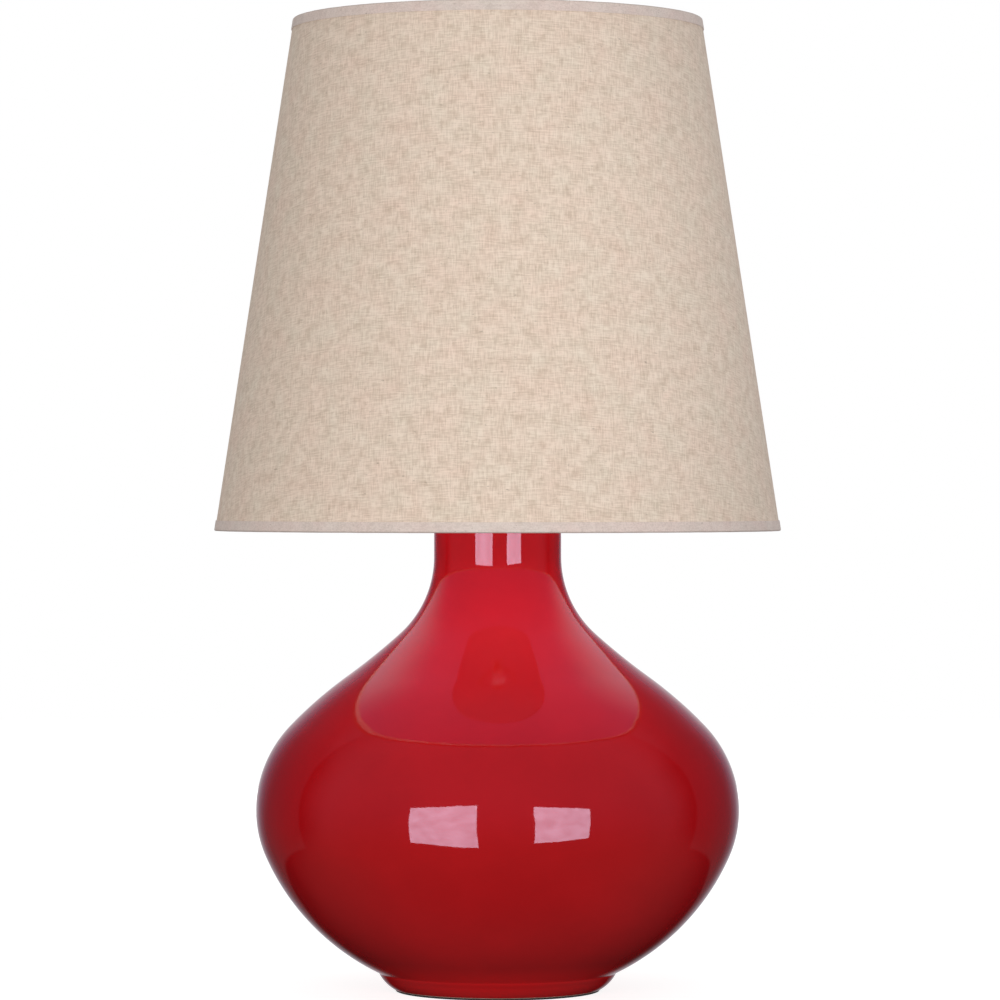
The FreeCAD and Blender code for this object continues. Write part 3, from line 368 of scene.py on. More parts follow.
# %% Outline tools
def moved(start, lean, size, turn):
    """Where a step ends. The lean is from the vertical, outwards, and a turn above 0 goes outwards."""
    if turn == 0:
        return start + Vector((size * math.sin(lean), 0, size * math.cos(lean)))
    side = 1 if turn > 0 else -1
    across = side * size * (math.cos(lean) - math.cos(lean + turn))
    height = side * size * (math.sin(lean + turn) - math.sin(lean))
    return start + Vector((across, 0, height))


def start_outline(name, start):
    """Shrinks a small plane to a single point, in edit mode, and puts it where the outline starts."""
    start_clean()
    bpy.ops.mesh.primitive_plane_add(size=0.01)
    piece = bpy.context.object
    piece.name = name
    piece.data.name = name
    bpy.ops.object.mode_set(mode="EDIT")
    bpy.ops.mesh.select_mode(type="VERT")
    bpy.ops.mesh.select_all(action="SELECT")
    bpy.ops.mesh.merge(type="CENTER")
    bpy.ops.transform.translate(value=start)
    return piece


def draw_steps(start, lean, steps, spacing):
    """Extrudes lines and spins arcs, and gives the last point and lean. A step of size 0 only turns."""
    for size, turn in steps:
        end = moved(start, lean, size, turn)
        if size > 0 and turn == 0:
            bpy.ops.mesh.extrude_region_move(TRANSFORM_OT_translate={"value": end - start})
        elif size > 0:
            side = 1 if turn > 0 else -1
            centre = start + side * size * Vector((math.cos(lean), 0, -math.sin(lean)))
            count = max(3, math.ceil(size * abs(turn) / spacing))
            bpy.ops.mesh.spin(steps=count, angle=-turn, center=centre, axis=(0, 1, 0))
        start = end
        lean += turn
    return start, lean


def turn_outline(piece, steps):
    """Spins the whole outline once about the lamp's axis, closes it and turns its faces outwards."""
    bpy.ops.mesh.select_all(action="SELECT")
    bpy.ops.mesh.spin(steps=steps, angle=2 * math.pi, center=(0, 0, 0), axis=(0, 0, 1))
    bpy.ops.mesh.select_all(action="SELECT")
    bpy.ops.mesh.remove_doubles(threshold=0.00001)
    bpy.ops.mesh.normals_make_consistent(inside=False)
    bpy.ops.object.mode_set(mode="OBJECT")
    piece.select_set(True)
    bpy.ops.object.shade_smooth_by_angle(angle=math.radians(35))
    return piece


print("outline tools are ready")

# %% [markdown]
# The ceramic body
# The outside is three pairs of arcs: from the crease above the foot out to the belly, over the shoulder to
# the point where it turns, and up into the straight neck. Leans are shares of the lean of the chord under each
# pair, and the two radii follow from them, so the outline is worked out and not traced. The lip is rolled, the
# inside follows 7 mm behind, and the foot bulges in one arc down to a narrow ring around a recess.

# %% Sizes of the body
body_height = 418.5 * MM
belly_radius = 195.5 * MM
belly_height = 144.5 * MM
neck_radius = 51.5 * MM
wall = 7.0 * MM
foot_level = 1.5 * MM
foot_radius = 96.0 * MM
foot_height = 12.5 * MM
foot_edge_radius = 84.0 * MM
foot_edge_round = 1.8 * MM
crease_round = 3.0 * MM
recess_radius = 74.0 * MM
recess_round = 3.0 * MM
edge_round = 1.0 * MM
lip_round = 1.5 * MM
floor_thickness = 7.0 * MM
floor_hole_radius = 8.0 * MM
neck_level_share = 0.748
shoulder_reach_share = 0.49
shoulder_level_share = 0.527
foot_lean_share = 0.62
crease_lean_share = 1.73
bowl_lean_share = 0.649
upper_lean_share = 1.286
shoulder_lean_share = 1.54
throat_lean_share = 1.333
lip_level = foot_level + body_height


def chord_lean(start, end):
    """The lean of the straight line between two points of the outline."""
    return math.atan2(abs(end.x - start.x), end.z - start.z)


def two_radii(start, end, lean, first_turn, second_turn):
    """Radii of two tangent arcs that lead from start to end."""
    first = moved(Vector(), lean, 1, first_turn)
    second = moved(Vector(), lean + first_turn, 1, second_turn)
    way = end - start
    spread = first.x * second.z - second.x * first.z
    return (way.x * second.z - second.x * way.z) / spread, (first.x * way.z - way.x * first.z) / spread


crease = Vector((foot_radius, 0, foot_level + foot_height))
belly = Vector((belly_radius, 0, foot_level + belly_height))
neck = Vector((neck_radius, 0, belly.z + neck_level_share * (lip_level - belly.z)))
shoulder_reach = neck_radius + shoulder_reach_share * (belly_radius - neck_radius)
shoulder = Vector((shoulder_reach, 0, belly.z + shoulder_level_share * (neck.z - belly.z)))
crease_lean = crease_lean_share * chord_lean(crease, belly)
shoulder_lean = shoulder_lean_share * (chord_lean(belly, shoulder) + chord_lean(shoulder, neck)) / 2
foot_edge = Vector((foot_edge_radius, 0, foot_level))
foot_chord = chord_lean(foot_edge, crease)
foot_lean = foot_lean_share * foot_chord
foot_bulge = (crease - foot_edge).length / 2 / math.sin(foot_chord - foot_lean)
crease_top = moved(crease, foot_lean, crease_round, crease_lean - foot_lean)
body_arcs = []
for start, end, leans in (
    (crease_top, belly, (crease_lean, bowl_lean_share * chord_lean(crease, belly), 0)),
    (belly, shoulder, (0, -upper_lean_share * chord_lean(belly, shoulder), -shoulder_lean)),
    (shoulder, neck, (-shoulder_lean, -throat_lean_share * chord_lean(shoulder, neck), 0)),
):
    turns = (leans[1] - leans[0], leans[2] - leans[1])
    body_arcs += list(zip(two_radii(start, end, leans[0], *turns), turns))
print("radii of the six arcs in mm:", [round(radius / MM) for radius, _ in body_arcs])

# %% Draw and turn the body
quarter = math.pi / 2
lip_spacing, foot_spacing, outside_spacing, inside_spacing = 0.8 * MM, 1.2 * MM, 4.0 * MM, 14.0 * MM
neck_cuts = 8
body_turns = 180
edge_lean = 2 * foot_chord - foot_lean
bulge_centre = foot_edge + foot_bulge * Vector((-math.cos(edge_lean), 0, math.sin(edge_lean)))
round_lean = math.asin((bulge_centre.z - foot_level - foot_edge_round) / (foot_bulge - foot_edge_round))
round_start = bulge_centre.x + (foot_bulge - foot_edge_round) * math.cos(round_lean)
floor_edge = crease_top + wall * Vector((-math.cos(crease_lean), 0, math.sin(crease_lean)))
floor_under = floor_edge.z - floor_thickness
recess_depth = floor_under - foot_level
body_start = Vector((floor_hole_radius, 0, floor_under))
foot_steps = [
    (recess_radius - floor_hole_radius - recess_round, 0),
    (recess_round, quarter),
    (recess_depth - recess_round - edge_round, 0),
    (edge_round, -quarter),
    (round_start - recess_radius - edge_round, 0),
    (foot_edge_round, round_lean - quarter),
    (foot_bulge, foot_lean - round_lean),
    (crease_round, crease_lean - foot_lean),
]
lip_steps = [
    *[((lip_level - lip_round - neck.z) / neck_cuts, 0)] * neck_cuts,
    (lip_round, -quarter),
    (wall - 2 * lip_round, 0),
    (lip_round, -quarter),
    (lip_level - lip_round - neck.z, 0),
]
inside_steps = [(radius + math.copysign(wall, turn), -turn) for radius, turn in reversed(body_arcs)]
lamp_body = start_outline("lamp_body", body_start)
place, lean = draw_steps(body_start, quarter, foot_steps, foot_spacing)
place, lean = draw_steps(place, lean, body_arcs, outside_spacing)
place, lean = draw_steps(place, lean, lip_steps, lip_spacing)
place, _ = draw_steps(place, lean, inside_steps, inside_spacing)
place, _ = draw_steps(place, -quarter, [(place.x - floor_hole_radius, 0)], wall)
place, _ = draw_steps(place, 2 * quarter, [(floor_thickness, 0)], wall)
print("the outline ends", round((place - body_start).length / MM, 3), "mm from where it started")
turn_outline(lamp_body, body_turns)
print("body:", len(lamp_body.data.vertices), "points,", [round(side, 4) for side in lamp_body.dimensions])

# %% [markdown]
# The cord outlet
# At the back a hole through the foot lets the cord out, and a plastic bushing lines it. A drill is a round bar
# that is subtracted with a Boolean modifier, which is then applied.

# %% Drill the cord outlet
outlet_height = 7.5 * MM
outlet_radius = 3.4 * MM
drill_place = (0, 85 * MM, foot_level + outlet_height)
start_clean()
bpy.ops.mesh.primitive_cylinder_add(
    vertices=48, radius=outlet_radius, depth=40 * MM, location=drill_place, rotation=(quarter, 0, 0)
)
drill = bpy.context.object
drill.name = "drill"
start_clean()
bpy.context.view_layer.objects.active = lamp_body
lamp_body.select_set(True)
hole = lamp_body.modifiers.new("hole", "BOOLEAN")
hole.operation = "DIFFERENCE"
hole.object = drill
hole.solver = "EXACT"
bpy.ops.object.modifier_apply(modifier=hole.name)
bpy.data.objects.remove(drill)
bpy.ops.object.shade_smooth_by_angle(angle=math.radians(35))
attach(lamp_body, "base")
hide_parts("ceramic_body")
print("body with its outlet:", len(lamp_body.data.polygons), "faces")

# %% [markdown]
# The linen wall
# A hard-backed shade is one piece of linen glued to a stiff liner, bent into a cone and lapped at the back.
# A cone primitive without ends is the start. Its sides are cut into rings, the lap is cut out with four bisects
# and raised, and Solidify gives the cloth its thickness. A UV map holds each point's place on the flat cloth
# in metres, so that the weave runs as it does on cloth that was cut flat and bent.

# %% Sizes of the shade
shade_top = 785.7 * MM
shade_height = 413.6 * MM
shade_top_radius = 165.1 * MM
shade_bottom_radius = 228.6 * MM
shade_bottom = shade_top - shade_height
linen_thickness = 0.8 * MM
liner_thickness = 0.5 * MM
trim_thickness = 0.7 * MM
glue_gap = 0.06 * MM
seam_lap = 12.0 * MM
seam_rise = 0.6 * MM
trim_height = 8.4 * MM
trim_inner_height = 6.0 * MM
ring_wire_radius = 1.6 * MM
shade_sides = 240
shade_slope = (shade_bottom_radius - shade_top_radius) / shade_height
cone_lean = math.atan(shade_slope)


def shade_radius(level):
    """The linen's outer radius at a level."""
    return shade_top_radius + shade_slope * (shade_top - level)


print("the linen leans", round(math.degrees(cone_lean), 2), "degrees")


# %% Cone and flat map
def cone_sheet(name, low, high, outset, cuts):
    """An open cone beside the linen's face, cut into rings."""
    start_clean()
    bpy.ops.mesh.primitive_cone_add(
        vertices=shade_sides,
        radius1=shade_radius(low) + outset,
        radius2=shade_radius(high) + outset,
        depth=high - low,
        end_fill_type="NOTHING",
        location=(0, 0, (low + high) / 2),
    )
    piece = bpy.context.object
    piece.name = name
    piece.data.name = name
    bpy.ops.object.transform_apply(location=True, rotation=True, scale=True)
    bpy.ops.object.mode_set(mode="EDIT")
    bpy.ops.mesh.select_mode(type="EDGE")
    shape = bmesh.from_edit_mesh(piece.data)
    for edge in shape.edges:
        edge.select_set(abs(edge.verts[0].co.z - edge.verts[1].co.z) > (high - low) / 2)
    bmesh.update_edit_mesh(piece.data)
    bpy.ops.mesh.subdivide(number_cuts=cuts)
    bpy.ops.object.mode_set(mode="OBJECT")
    return piece


def flat_map(piece):
    """Writes each corner's place on the flat cloth, in metres, with the cut at the back."""
    layer = piece.data.uv_layers.new(name="flat") if not piece.data.uv_layers else piece.data.uv_layers[0]
    layer.name = "flat"
    for face in piece.data.polygons:
        middle = math.atan2(face.center.x, -face.center.y)
        for corner in face.loop_indices:
            point = piece.data.vertices[piece.data.loops[corner].vertex_index].co
            turn = math.atan2(point.x, -point.y)
            turn = middle + math.remainder(turn - middle, 2 * math.pi)
            reach = math.hypot(point.x, point.y) / math.sin(cone_lean)
            bend = turn * math.sin(cone_lean)
            layer.data[corner].uv = (reach * math.sin(bend), -reach * math.cos(bend))


linen_low = shade_bottom + trim_thickness + glue_gap
linen_high = shade_top - trim_thickness - glue_gap
linen_wall = cone_sheet("linen_wall", linen_low, linen_high, 0, 23)
print("linen wall:", len(linen_wall.data.polygons), "faces")

# %% The lap at the back
hem = trim_height + glue_gap
near_the_lap = 50.0 * MM
bpy.ops.object.mode_set(mode="EDIT")
bpy.ops.mesh.select_mode(type="FACE")
for plane, normal in (
    ((seam_lap / 2, 0, 0), (1, 0, 0)),
    ((-seam_lap / 2, 0, 0), (1, 0, 0)),
    ((0, 0, shade_bottom + hem), (0, 0, 1)),
    ((0, 0, shade_top - hem), (0, 0, 1)),
):
    shape = bmesh.from_edit_mesh(linen_wall.data)
    for face in shape.faces:
        middle = face.calc_center_median()
        face.select_set(middle.y > 0.9 * middle.xy.length and abs(middle.x) < near_the_lap)
    bmesh.update_edit_mesh(linen_wall.data)
    bpy.ops.mesh.bisect(plane_co=plane, plane_no=normal)
shape = bmesh.from_edit_mesh(linen_wall.data)
for face in shape.faces:
    middle = face.calc_center_median()
    inside = abs(middle.x) < seam_lap / 2 and middle.y > 0
    face.select_set(inside and shade_bottom + hem < middle.z < shade_top - hem)
bmesh.update_edit_mesh(linen_wall.data)
bpy.ops.mesh.extrude_region_shrink_fatten(TRANSFORM_OT_shrink_fatten={"value": seam_rise})
bpy.ops.object.mode_set(mode="OBJECT")
flat_map(linen_wall)
print("the lap is", seam_lap / MM, "mm wide")


# %% Thickness of a sheet
def thicken(piece, thickness):
    """Gives a sheet its thickness towards the inside, and smooths it."""
    start_clean()
    bpy.context.view_layer.objects.active = piece
    piece.select_set(True)
    solid = piece.modifiers.new("thickness", "SOLIDIFY")
    solid.thickness = thickness
    solid.offset = -1.0
    bpy.ops.object.modifier_apply(modifier=solid.name)
    bpy.ops.object.shade_smooth_by_angle(angle=math.radians(30))


thicken(linen_wall, linen_thickness)
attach(linen_wall, "shade")
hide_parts("shade_fabric")

# %% [markdown]
# The liner
# The liner is a stiff white sheet behind the linen. It shows from below and in the glaze of the shoulder, so it
# gets the same smooth cone, without the lap.

# %% Liner
shade_liner = cone_sheet("liner_sheet", linen_low, linen_high, -linen_thickness - glue_gap, 7)
flat_map(shade_liner)
thicken(shade_liner, liner_thickness)
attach(shade_liner, "shade")
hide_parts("shade_liner")
print("liner:", len(shade_liner.data.polygons), "faces")

# %% [markdown]
# The folded tapes
# A narrow tape of the same linen is folded over each rim, wire and all. Its section is drawn with the outline
# tools: up the outside, over the rim in a round fold, and down the inside. It is spun about the axis, and a
# Displace modifier with a cloud pattern gives it the slight unevenness of glued cloth.


# %% Draw a tape
def drawn_tape(name, edge_level, inward):
    """A tape folded over a rim. inward is 1 where the shade lies above the rim and -1 where it lies below."""
    ring_level = edge_level + inward * (trim_thickness + glue_gap + ring_wire_radius)
    liner_face = shade_radius(ring_level) - linen_thickness - glue_gap - liner_thickness
    inner_face = liner_face - (2 * ring_wire_radius + glue_gap) * math.hypot(1, shade_slope) - glue_gap
    stand_off = glue_gap + trim_thickness
    hem_level = edge_level + inward * trim_height
    outside = [
        Vector((shade_radius(hem_level) + glue_gap, 0, hem_level)),
        Vector((shade_radius(hem_level) + stand_off, 0, hem_level)),
        Vector((shade_radius(edge_level) + stand_off, 0, edge_level)),
        Vector((inner_face - trim_thickness, 0, edge_level)),
        Vector((inner_face - trim_thickness, 0, edge_level + inward * trim_inner_height)),
        Vector((inner_face, 0, edge_level + inward * trim_inner_height)),
        Vector((inner_face, 0, edge_level + inward * trim_thickness)),
        Vector((shade_radius(edge_level) + glue_gap, 0, edge_level + inward * trim_thickness)),
    ]
    rounds = [size * MM for size in (0.25, 0.3, 1.1, 1.1, 0.3, 0.25, 0.5, 0.5)]
    return rounded_ring(name, outside, rounds)


def rounded_ring(name, corners, rounds):
    """Draws a closed section with rounded corners, and spins it."""
    spacing = 0.25 * MM
    count = len(corners)
    middle = (corners[0] + corners[-1]) / 2
    piece = start_outline(name, middle)
    place = middle
    for i, corner in enumerate(corners):
        to_next = (corners[i + 1] if i < count - 1 else middle) - corner
        to_last = place - corner
        angle = to_last.angle(to_next)
        reach = rounds[i] / math.tan(angle / 2)
        lean = math.atan2(-to_last.x, -to_last.z)
        next_lean = math.atan2(to_next.x, to_next.z)
        turn = math.remainder(next_lean - lean, 2 * math.pi)
        place, lean = draw_steps(place, lean, [(to_last.length - reach, 0), (rounds[i], turn)], spacing)
    draw_steps(place, lean, [((middle - place).length, 0)], spacing)
    return turn_outline(piece, shade_sides)


def roughen(piece, size, strength):
    """Moves the surface a little in and out by a cloud pattern."""
    pattern = bpy.data.textures.new("unevenness", "CLOUDS")
    pattern.noise_scale = size
    start_clean()
    bpy.context.view_layer.objects.active = piece
    piece.select_set(True)
    change = piece.modifiers.new("unevenness", "DISPLACE")
    change.texture = pattern
    change.strength = strength
    change.mid_level = 0.5
    bpy.ops.object.modifier_apply(modifier=change.name)


bottom_tape = drawn_tape("bottom_tape", shade_bottom, 1)
top_tape = drawn_tape("top_tape", shade_top, -1)
for tape, node in ((bottom_tape, "shade_bottom_trim"), (top_tape, "shade_top_trim")):
    roughen(tape, 0.012, 0.25 * MM)
    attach(tape, "shade")
    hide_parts(node)
    print(tape.name, "is", round(tape.dimensions.x, 4), "m wide with", len(tape.data.polygons), "faces")

# %% [markdown]
# The sizes of the cut cloth
# Cloth has a size before it is hung. The linen is one sheet, stretched on the liner. Each tape is a strip about
# 22 mm wide and as long as its rim, folded over the wire.

print("the linen is one sheet, and each tape a strip about 22 mm wide")

# %% [markdown]
# Shared effects as node groups
# Several finishes need the same things: cloudy tones, cloth threads, and the fine wear of handled metal. Each is
# a node group that is built once, with named inputs, and placed in the materials with its own values.


# %% Group tools
def new_group(name, inputs, outputs):
    """An empty node group that takes a place and some numbers, with the sockets of its input and output nodes."""
    group = bpy.data.node_groups.new(name, "ShaderNodeTree")
    group.interface.new_socket(name="Vector", in_out="INPUT", socket_type="NodeSocketVector")
    for label, value in inputs.items():
        group.interface.new_socket(name=label, in_out="INPUT", socket_type="NodeSocketFloat").default_value = value
    for label in outputs:
        group.interface.new_socket(name=label, in_out="OUTPUT", socket_type="NodeSocketFloat")
    return group, group.nodes.new("NodeGroupInput").outputs, group.nodes.new("NodeGroupOutput").inputs


def place_group(tree, group, **inputs):
    """Places a group in a material, links or sets its inputs, and gives its outputs."""
    node = tree.nodes.new("ShaderNodeGroup")
    node.node_tree = group
    for name, value in inputs.items():
        feed(tree, node.inputs[name.replace("_", " ")], value)
    return node.outputs


def noise(tree, place, scale, detail=2.0, roughness=0.5):
    """A soft noise value around 0.5."""
    return add_node(tree, "TexNoise", Vector=place, Scale=scale, Detail=detail, Roughness=roughness).outputs[0]


def scaled(tree, place, x, y, z):
    """The place stretched along its axes."""
    return add_node(tree, "Mapping", Vector=place, Scale=(x, y, z)).outputs[0]


print("group tools are ready")

# %% Cloudy tone
cloudy_tone, given, made = new_group(
    "cloudy_tone",
    {"Scale": 20.0, "Fine Scale": 200.0},
    ["Tone", "Fine"],
)
soft = noise(cloudy_tone, given["Vector"], given["Scale"], 3.0, 0.55)
fine = noise(cloudy_tone, given["Vector"], given["Fine Scale"], 4.0, 0.6)
feed(cloudy_tone, made["Tone"], stretched(cloudy_tone, soft, 0.3, 0.7))
feed(cloudy_tone, made["Fine"], stretched(cloudy_tone, fine, 0.3, 0.7))
print(cloudy_tone.name, "has", len(cloudy_tone.nodes), "nodes")

# %% [markdown]
# Cloth threads
# Linen yarn is uneven: some stretches are thick and pale, some thin and dark, and bits of husk show as dark
# flecks. Long thin noise along each direction of the weave gives the yarns, a second one the thick slubs, and
# soft clouds the patches where the glue or the dye took differently. Strict stripes would shimmer at this
# distance, and noise doesn't.


# %% Cloth threads group
def crossed(tree, place, count, squeeze, detail):
    """Noise drawn out along the weft and along the warp, added up. squeeze is its scale along the yarn."""
    pair = [noise(tree, scaled(tree, place, x, y, 1.0), count, detail) for x, y in ((squeeze, 1.0), (1.0, squeeze))]
    return calculate(tree, "ADD", *pair)


cloth_threads, given, made = new_group(
    "cloth_threads",
    {"Yarns Per Metre": 1600.0, "Slubs Per Metre": 900.0},
    ["Yarns", "Slubs", "Clouds", "Warmth", "Flecks", "Height"],
)
flat = given["Vector"]
yarns = crossed(cloth_threads, flat, given["Yarns Per Metre"], 0.09, 2.0)
yarns = calculate(cloth_threads, "MULTIPLY_ADD", yarns, 1.6, -1.1)
slubs = crossed(cloth_threads, flat, given["Slubs Per Metre"], 0.11, 1.0)
cloud = noise(cloth_threads, flat, 95.0, 4.0, 0.65)
warmth = noise(cloth_threads, flat, 34.0, 3.0, 0.6)
flecked = noise(cloth_threads, scaled(cloth_threads, flat, 0.45, 0.8, 1.0), 430.0, 2.0)
feed(cloth_threads, made["Yarns"], yarns)
feed(cloth_threads, made["Slubs"], stretched(cloth_threads, slubs, 0.8, 1.2, -1.0, 1.0, False))
feed(cloth_threads, made["Clouds"], stretched(cloth_threads, cloud, 0.3, 0.7, -1.0, 1.0, False))
feed(cloth_threads, made["Warmth"], stretched(cloth_threads, warmth, 0.3, 0.7, 0.0, 1.0, False))
feed(cloth_threads, made["Flecks"], stretched(cloth_threads, flecked, 0.66, 0.8))
feed(cloth_threads, made["Height"], calculate(cloth_threads, "MULTIPLY_ADD", slubs, 0.6, yarns))
print(cloth_threads.name, "has", len(cloth_threads.nodes), "nodes")

# %% [markdown]
# Handled metal
# Plated metal is never quite even: fingers leave smudges that change the gloss, and cloths leave fine scratches.

# %% Handled metal group
handled_metal, given, made = new_group(
    "handled_metal",
    {"Smudge Scale": 60.0, "Scratch Scale": 900.0},
    ["Smudges", "Scratches", "Spots"],
)
place = given["Vector"]
smudge = noise(handled_metal, place, given["Smudge Scale"], 4.0, 0.6)
scratch = noise(handled_metal, scaled(handled_metal, place, 1.0, 1.0, 0.06), given["Scratch Scale"], 2.0)
spot = noise(handled_metal, place, 700.0, 1.0)
feed(handled_metal, made["Smudges"], stretched(handled_metal, smudge, 0.35, 0.7))
feed(handled_metal, made["Scratches"], stretched(handled_metal, scratch, 0.35, 0.65))
feed(handled_metal, made["Spots"], stretched(handled_metal, spot, 0.68, 0.76))
print(handled_metal.name, "has", len(handled_metal.nodes), "nodes")

# %% [markdown]
# Finishing a material
# One helper makes the Principled shader, with the values that are the same all over set on its own sockets,
# and a Bump node for the height. Another puts the material on new pieces or in a CAD piece's slot.


# %% Material tools
def finish_material(tree, base, roughness, height, depth, **constants):
    """Adds the Principled shader and the output. depth is the bump's height in metres."""
    bump = add_node(tree, "Bump", Height=height, Distance=depth).outputs[0]
    shader = add_node(tree, "BsdfPrincipled", Base_Color=base, Roughness=roughness, Normal=bump, **constants)
    add_node(tree, "OutputMaterial", Surface=shader.outputs[0])


def dress(material, *pieces):
    """Gives new pieces the material, and CAD pieces too, in the slot they have."""
    for piece in pieces:
        thing = frame["nodes"][piece] if isinstance(piece, str) else piece
        if not thing.material_slots:
            thing.data.materials.append(material)
        thing.material_slots[0].material = material


print("material tools are ready")

# %% [markdown]
# Ruby glaze
# The body is a deep red under a glassy coat. The colour is cloudy only a little. Towards the foot it is painted
# lighter, as light bounced from the floor and partly as thinner glaze, and it is a touch darker in a band around the
# crease. Towards the outline it is painted darker: partly painted shade, and partly the longer way that light goes
# through the red glass at a low angle. Under the foot the clay is bare. The surface is very smooth, with the faint
# waviness that makes the edges of its reflections uneven.

# %% Ruby glaze
thin_and_lit_level, thin_and_lit_end = 14.5 * MM, 32.0 * MM
foot_middle = 10.0 * MM
crease_band_level, crease_band_reach = 12.5 * MM, 3.5 * MM
clay_level, glaze_level = 1.7 * MM, 2.4 * MM
wave_height = 0.3 * MM
ruby_glaze, tree = new_material("ruby_glaze")
place = own_place(tree)
level = split(tree, place)["Z"]
cloud = place_group(tree, cloudy_tone, Vector=place, Scale=14.0, Fine_Scale=260.0)
deep = mixed(tree, cloud["Tone"], colour(0.455, 0.0038, 0.0065), colour(0.415, 0.0032, 0.0055))
# Painted shade: the red is darker towards the outline, partly as thick red glass seen at a slant.
thick_glass_and_outline_shade = stretched(tree, add_node(tree, "LayerWeight", Blend=0.5).outputs["Facing"], 0.35, 0.95, 0.0, 0.7)
deep = mixed(tree, thick_glass_and_outline_shade, deep, colour(0.26, 0.0015, 0.004))
# Painted light: lighter towards the foot, as light bounced from the floor, and partly thinner glaze.
thin_glaze_and_floor_light = stretched(tree, level, thin_and_lit_level, thin_and_lit_end, 1.0, 0.0)
thin_glaze_and_floor_light = calculate(tree, "MULTIPLY", thin_glaze_and_floor_light, stretched(tree, level, foot_middle, thin_and_lit_level, 0.4, 1.0))
red = mixed(tree, thin_glaze_and_floor_light, deep, colour(0.68, 0.006, 0.009))
# A touch darker in a band around the crease.
crease_band = calculate(tree, "ABSOLUTE", calculate(tree, "SUBTRACT", level, crease_band_level))
crease_band = stretched(tree, crease_band, 0.0, crease_band_reach, 0.5, 0.0)
red = mixed(tree, crease_band, red, colour(0.30, 0.002, 0.004))
bare = stretched(tree, level, clay_level, glaze_level, 1.0, 0.0)
clay = mixed(tree, cloud["Fine"], colour(0.52, 0.43, 0.34), colour(0.62, 0.53, 0.43))
red = mixed(tree, bare, red, clay)
rough = stretched(tree, bare, 0.0, 1.0, 0.035, 0.85)
waves, ripples = (noise(tree, place, scale, 1.0) for scale in (22.0, 95.0))
wavy = calculate(tree, "MULTIPLY_ADD", ripples, 0.12, waves)
finish_material(tree, red, rough, wavy, wave_height, IOR=1.5)
dress(ruby_glaze, lamp_body)
print("ruby glaze has", len(tree.nodes), "nodes")

# %% [markdown]
# Linen
# Oatmeal linen with soft clouds, short pale and dark stretches of yarn in both directions, and small brown
# flecks. It reads the flat map, so the weave follows the cut of the cloth.


# %% Linen and tape
def painted_rim_shade(tree, base):
    """Paints shade on a tape where it turns round the rim, as a darker line at both rims."""
    level = split(tree, own_place(tree))["Z"]
    low = stretched(tree, level, shade_bottom + 0.2 * MM, shade_bottom + 1.4 * MM, 0.6, 0.0)
    high = stretched(tree, level, shade_top - 1.2 * MM, shade_top - 0.2 * MM, 0.0, 0.4)
    return mixed(tree, calculate(tree, "ADD", low, high), base, colour(0.26, 0.21, 0.19))


def lap_glue_and_shadow_lines(tree, base):
    """Darker lines along the lap's two edges at the back: painted shadow of the edge, and glue showing through."""
    place = split(tree, own_place(tree))
    apart = calculate(tree, "SUBTRACT", calculate(tree, "ABSOLUTE", place["X"]), seam_lap / 2)
    line = stretched(tree, calculate(tree, "ABSOLUTE", apart), 0.1 * MM, 0.9 * MM, 0.4, 0.0)
    line = calculate(tree, "MULTIPLY", line, stretched(tree, place["Y"], 0.0, 0.01))
    return mixed(tree, line, base, colour(0.3, 0.22, 0.16))


def cloth_material(name, pale, dark, fleck, on_flat_map, depth):
    """A linen with its own colours, on the flat map or on the piece's own coordinates."""
    material, tree = new_material(name)
    place = add_node(tree, "UVMap", {"uv_map": "flat"}).outputs[0] if on_flat_map else own_place(tree)
    cloth = place_group(tree, cloth_threads, Vector=place)
    tone = 0.5
    for pattern, contrast in (("Yarns", 0.34), ("Slubs", 0.24), ("Clouds", 0.24)):
        tone = calculate(tree, "MULTIPLY_ADD", cloth[pattern], contrast, tone)
    base = mixed(tree, stretched(tree, tone, 0.0, 1.0, 0.0, 1.0, False), dark, pale)
    hue = mixed(tree, cloth["Warmth"], colour(0.98, 1.0, 1.0), colour(1.01, 0.962, 0.965))
    base = mixed(tree, 1.0, base, hue, "MULTIPLY")
    base = mixed(tree, calculate(tree, "MULTIPLY", cloth["Flecks"], 0.45), base, fleck)
    # The linen gets painted shadow and glue lines along its lap, and the tapes get painted shade at their rims.
    base = lap_glue_and_shadow_lines(tree, base) if on_flat_map else painted_rim_shade(tree, base)
    soft = {"Specular_IOR_Level": 0.15, "Sheen_Weight": 0.12, "Sheen_Roughness": 0.5}
    finish_material(tree, base, 0.9, cloth["Height"], depth, **soft)
    return material


linen_colours = colour(0.878, 0.750, 0.632), colour(0.578, 0.442, 0.335), colour(0.24, 0.15, 0.095)
linen = cloth_material("linen", *linen_colours, True, 0.00012)
trim_colours = colour(0.79, 0.68, 0.625), colour(0.61, 0.505, 0.455), colour(0.24, 0.15, 0.1)
trim_linen = cloth_material("trim_linen", *trim_colours, False, 0.0001)
dress(linen, linen_wall)
dress(trim_linen, bottom_tape, top_tape)
print("linen and tape are dressed")

# %% [markdown]
# The liner's paper
# A warm white with a faint fibre, matt on the inside of the shade.

# %% Liner paper
liner_paper, tree = new_material("liner_paper")
place = add_node(tree, "UVMap", {"uv_map": "flat"}).outputs[0]
cloud = place_group(tree, cloudy_tone, Vector=place, Scale=60.0, Fine_Scale=1500.0)
base = mixed(tree, cloud["Tone"], colour(0.80, 0.765, 0.71), colour(0.84, 0.81, 0.76))
finish_material(tree, base, 0.6, cloud["Fine"], 0.00003)
dress(liner_paper, shade_liner)
print("liner paper has", len(tree.nodes), "nodes")

# %% [markdown]
# Metals
# Brass plate, zinc-plated steel, the bulb's base and the bare brass inside the socket are all handled metal
# with their own colours, gloss and grain.


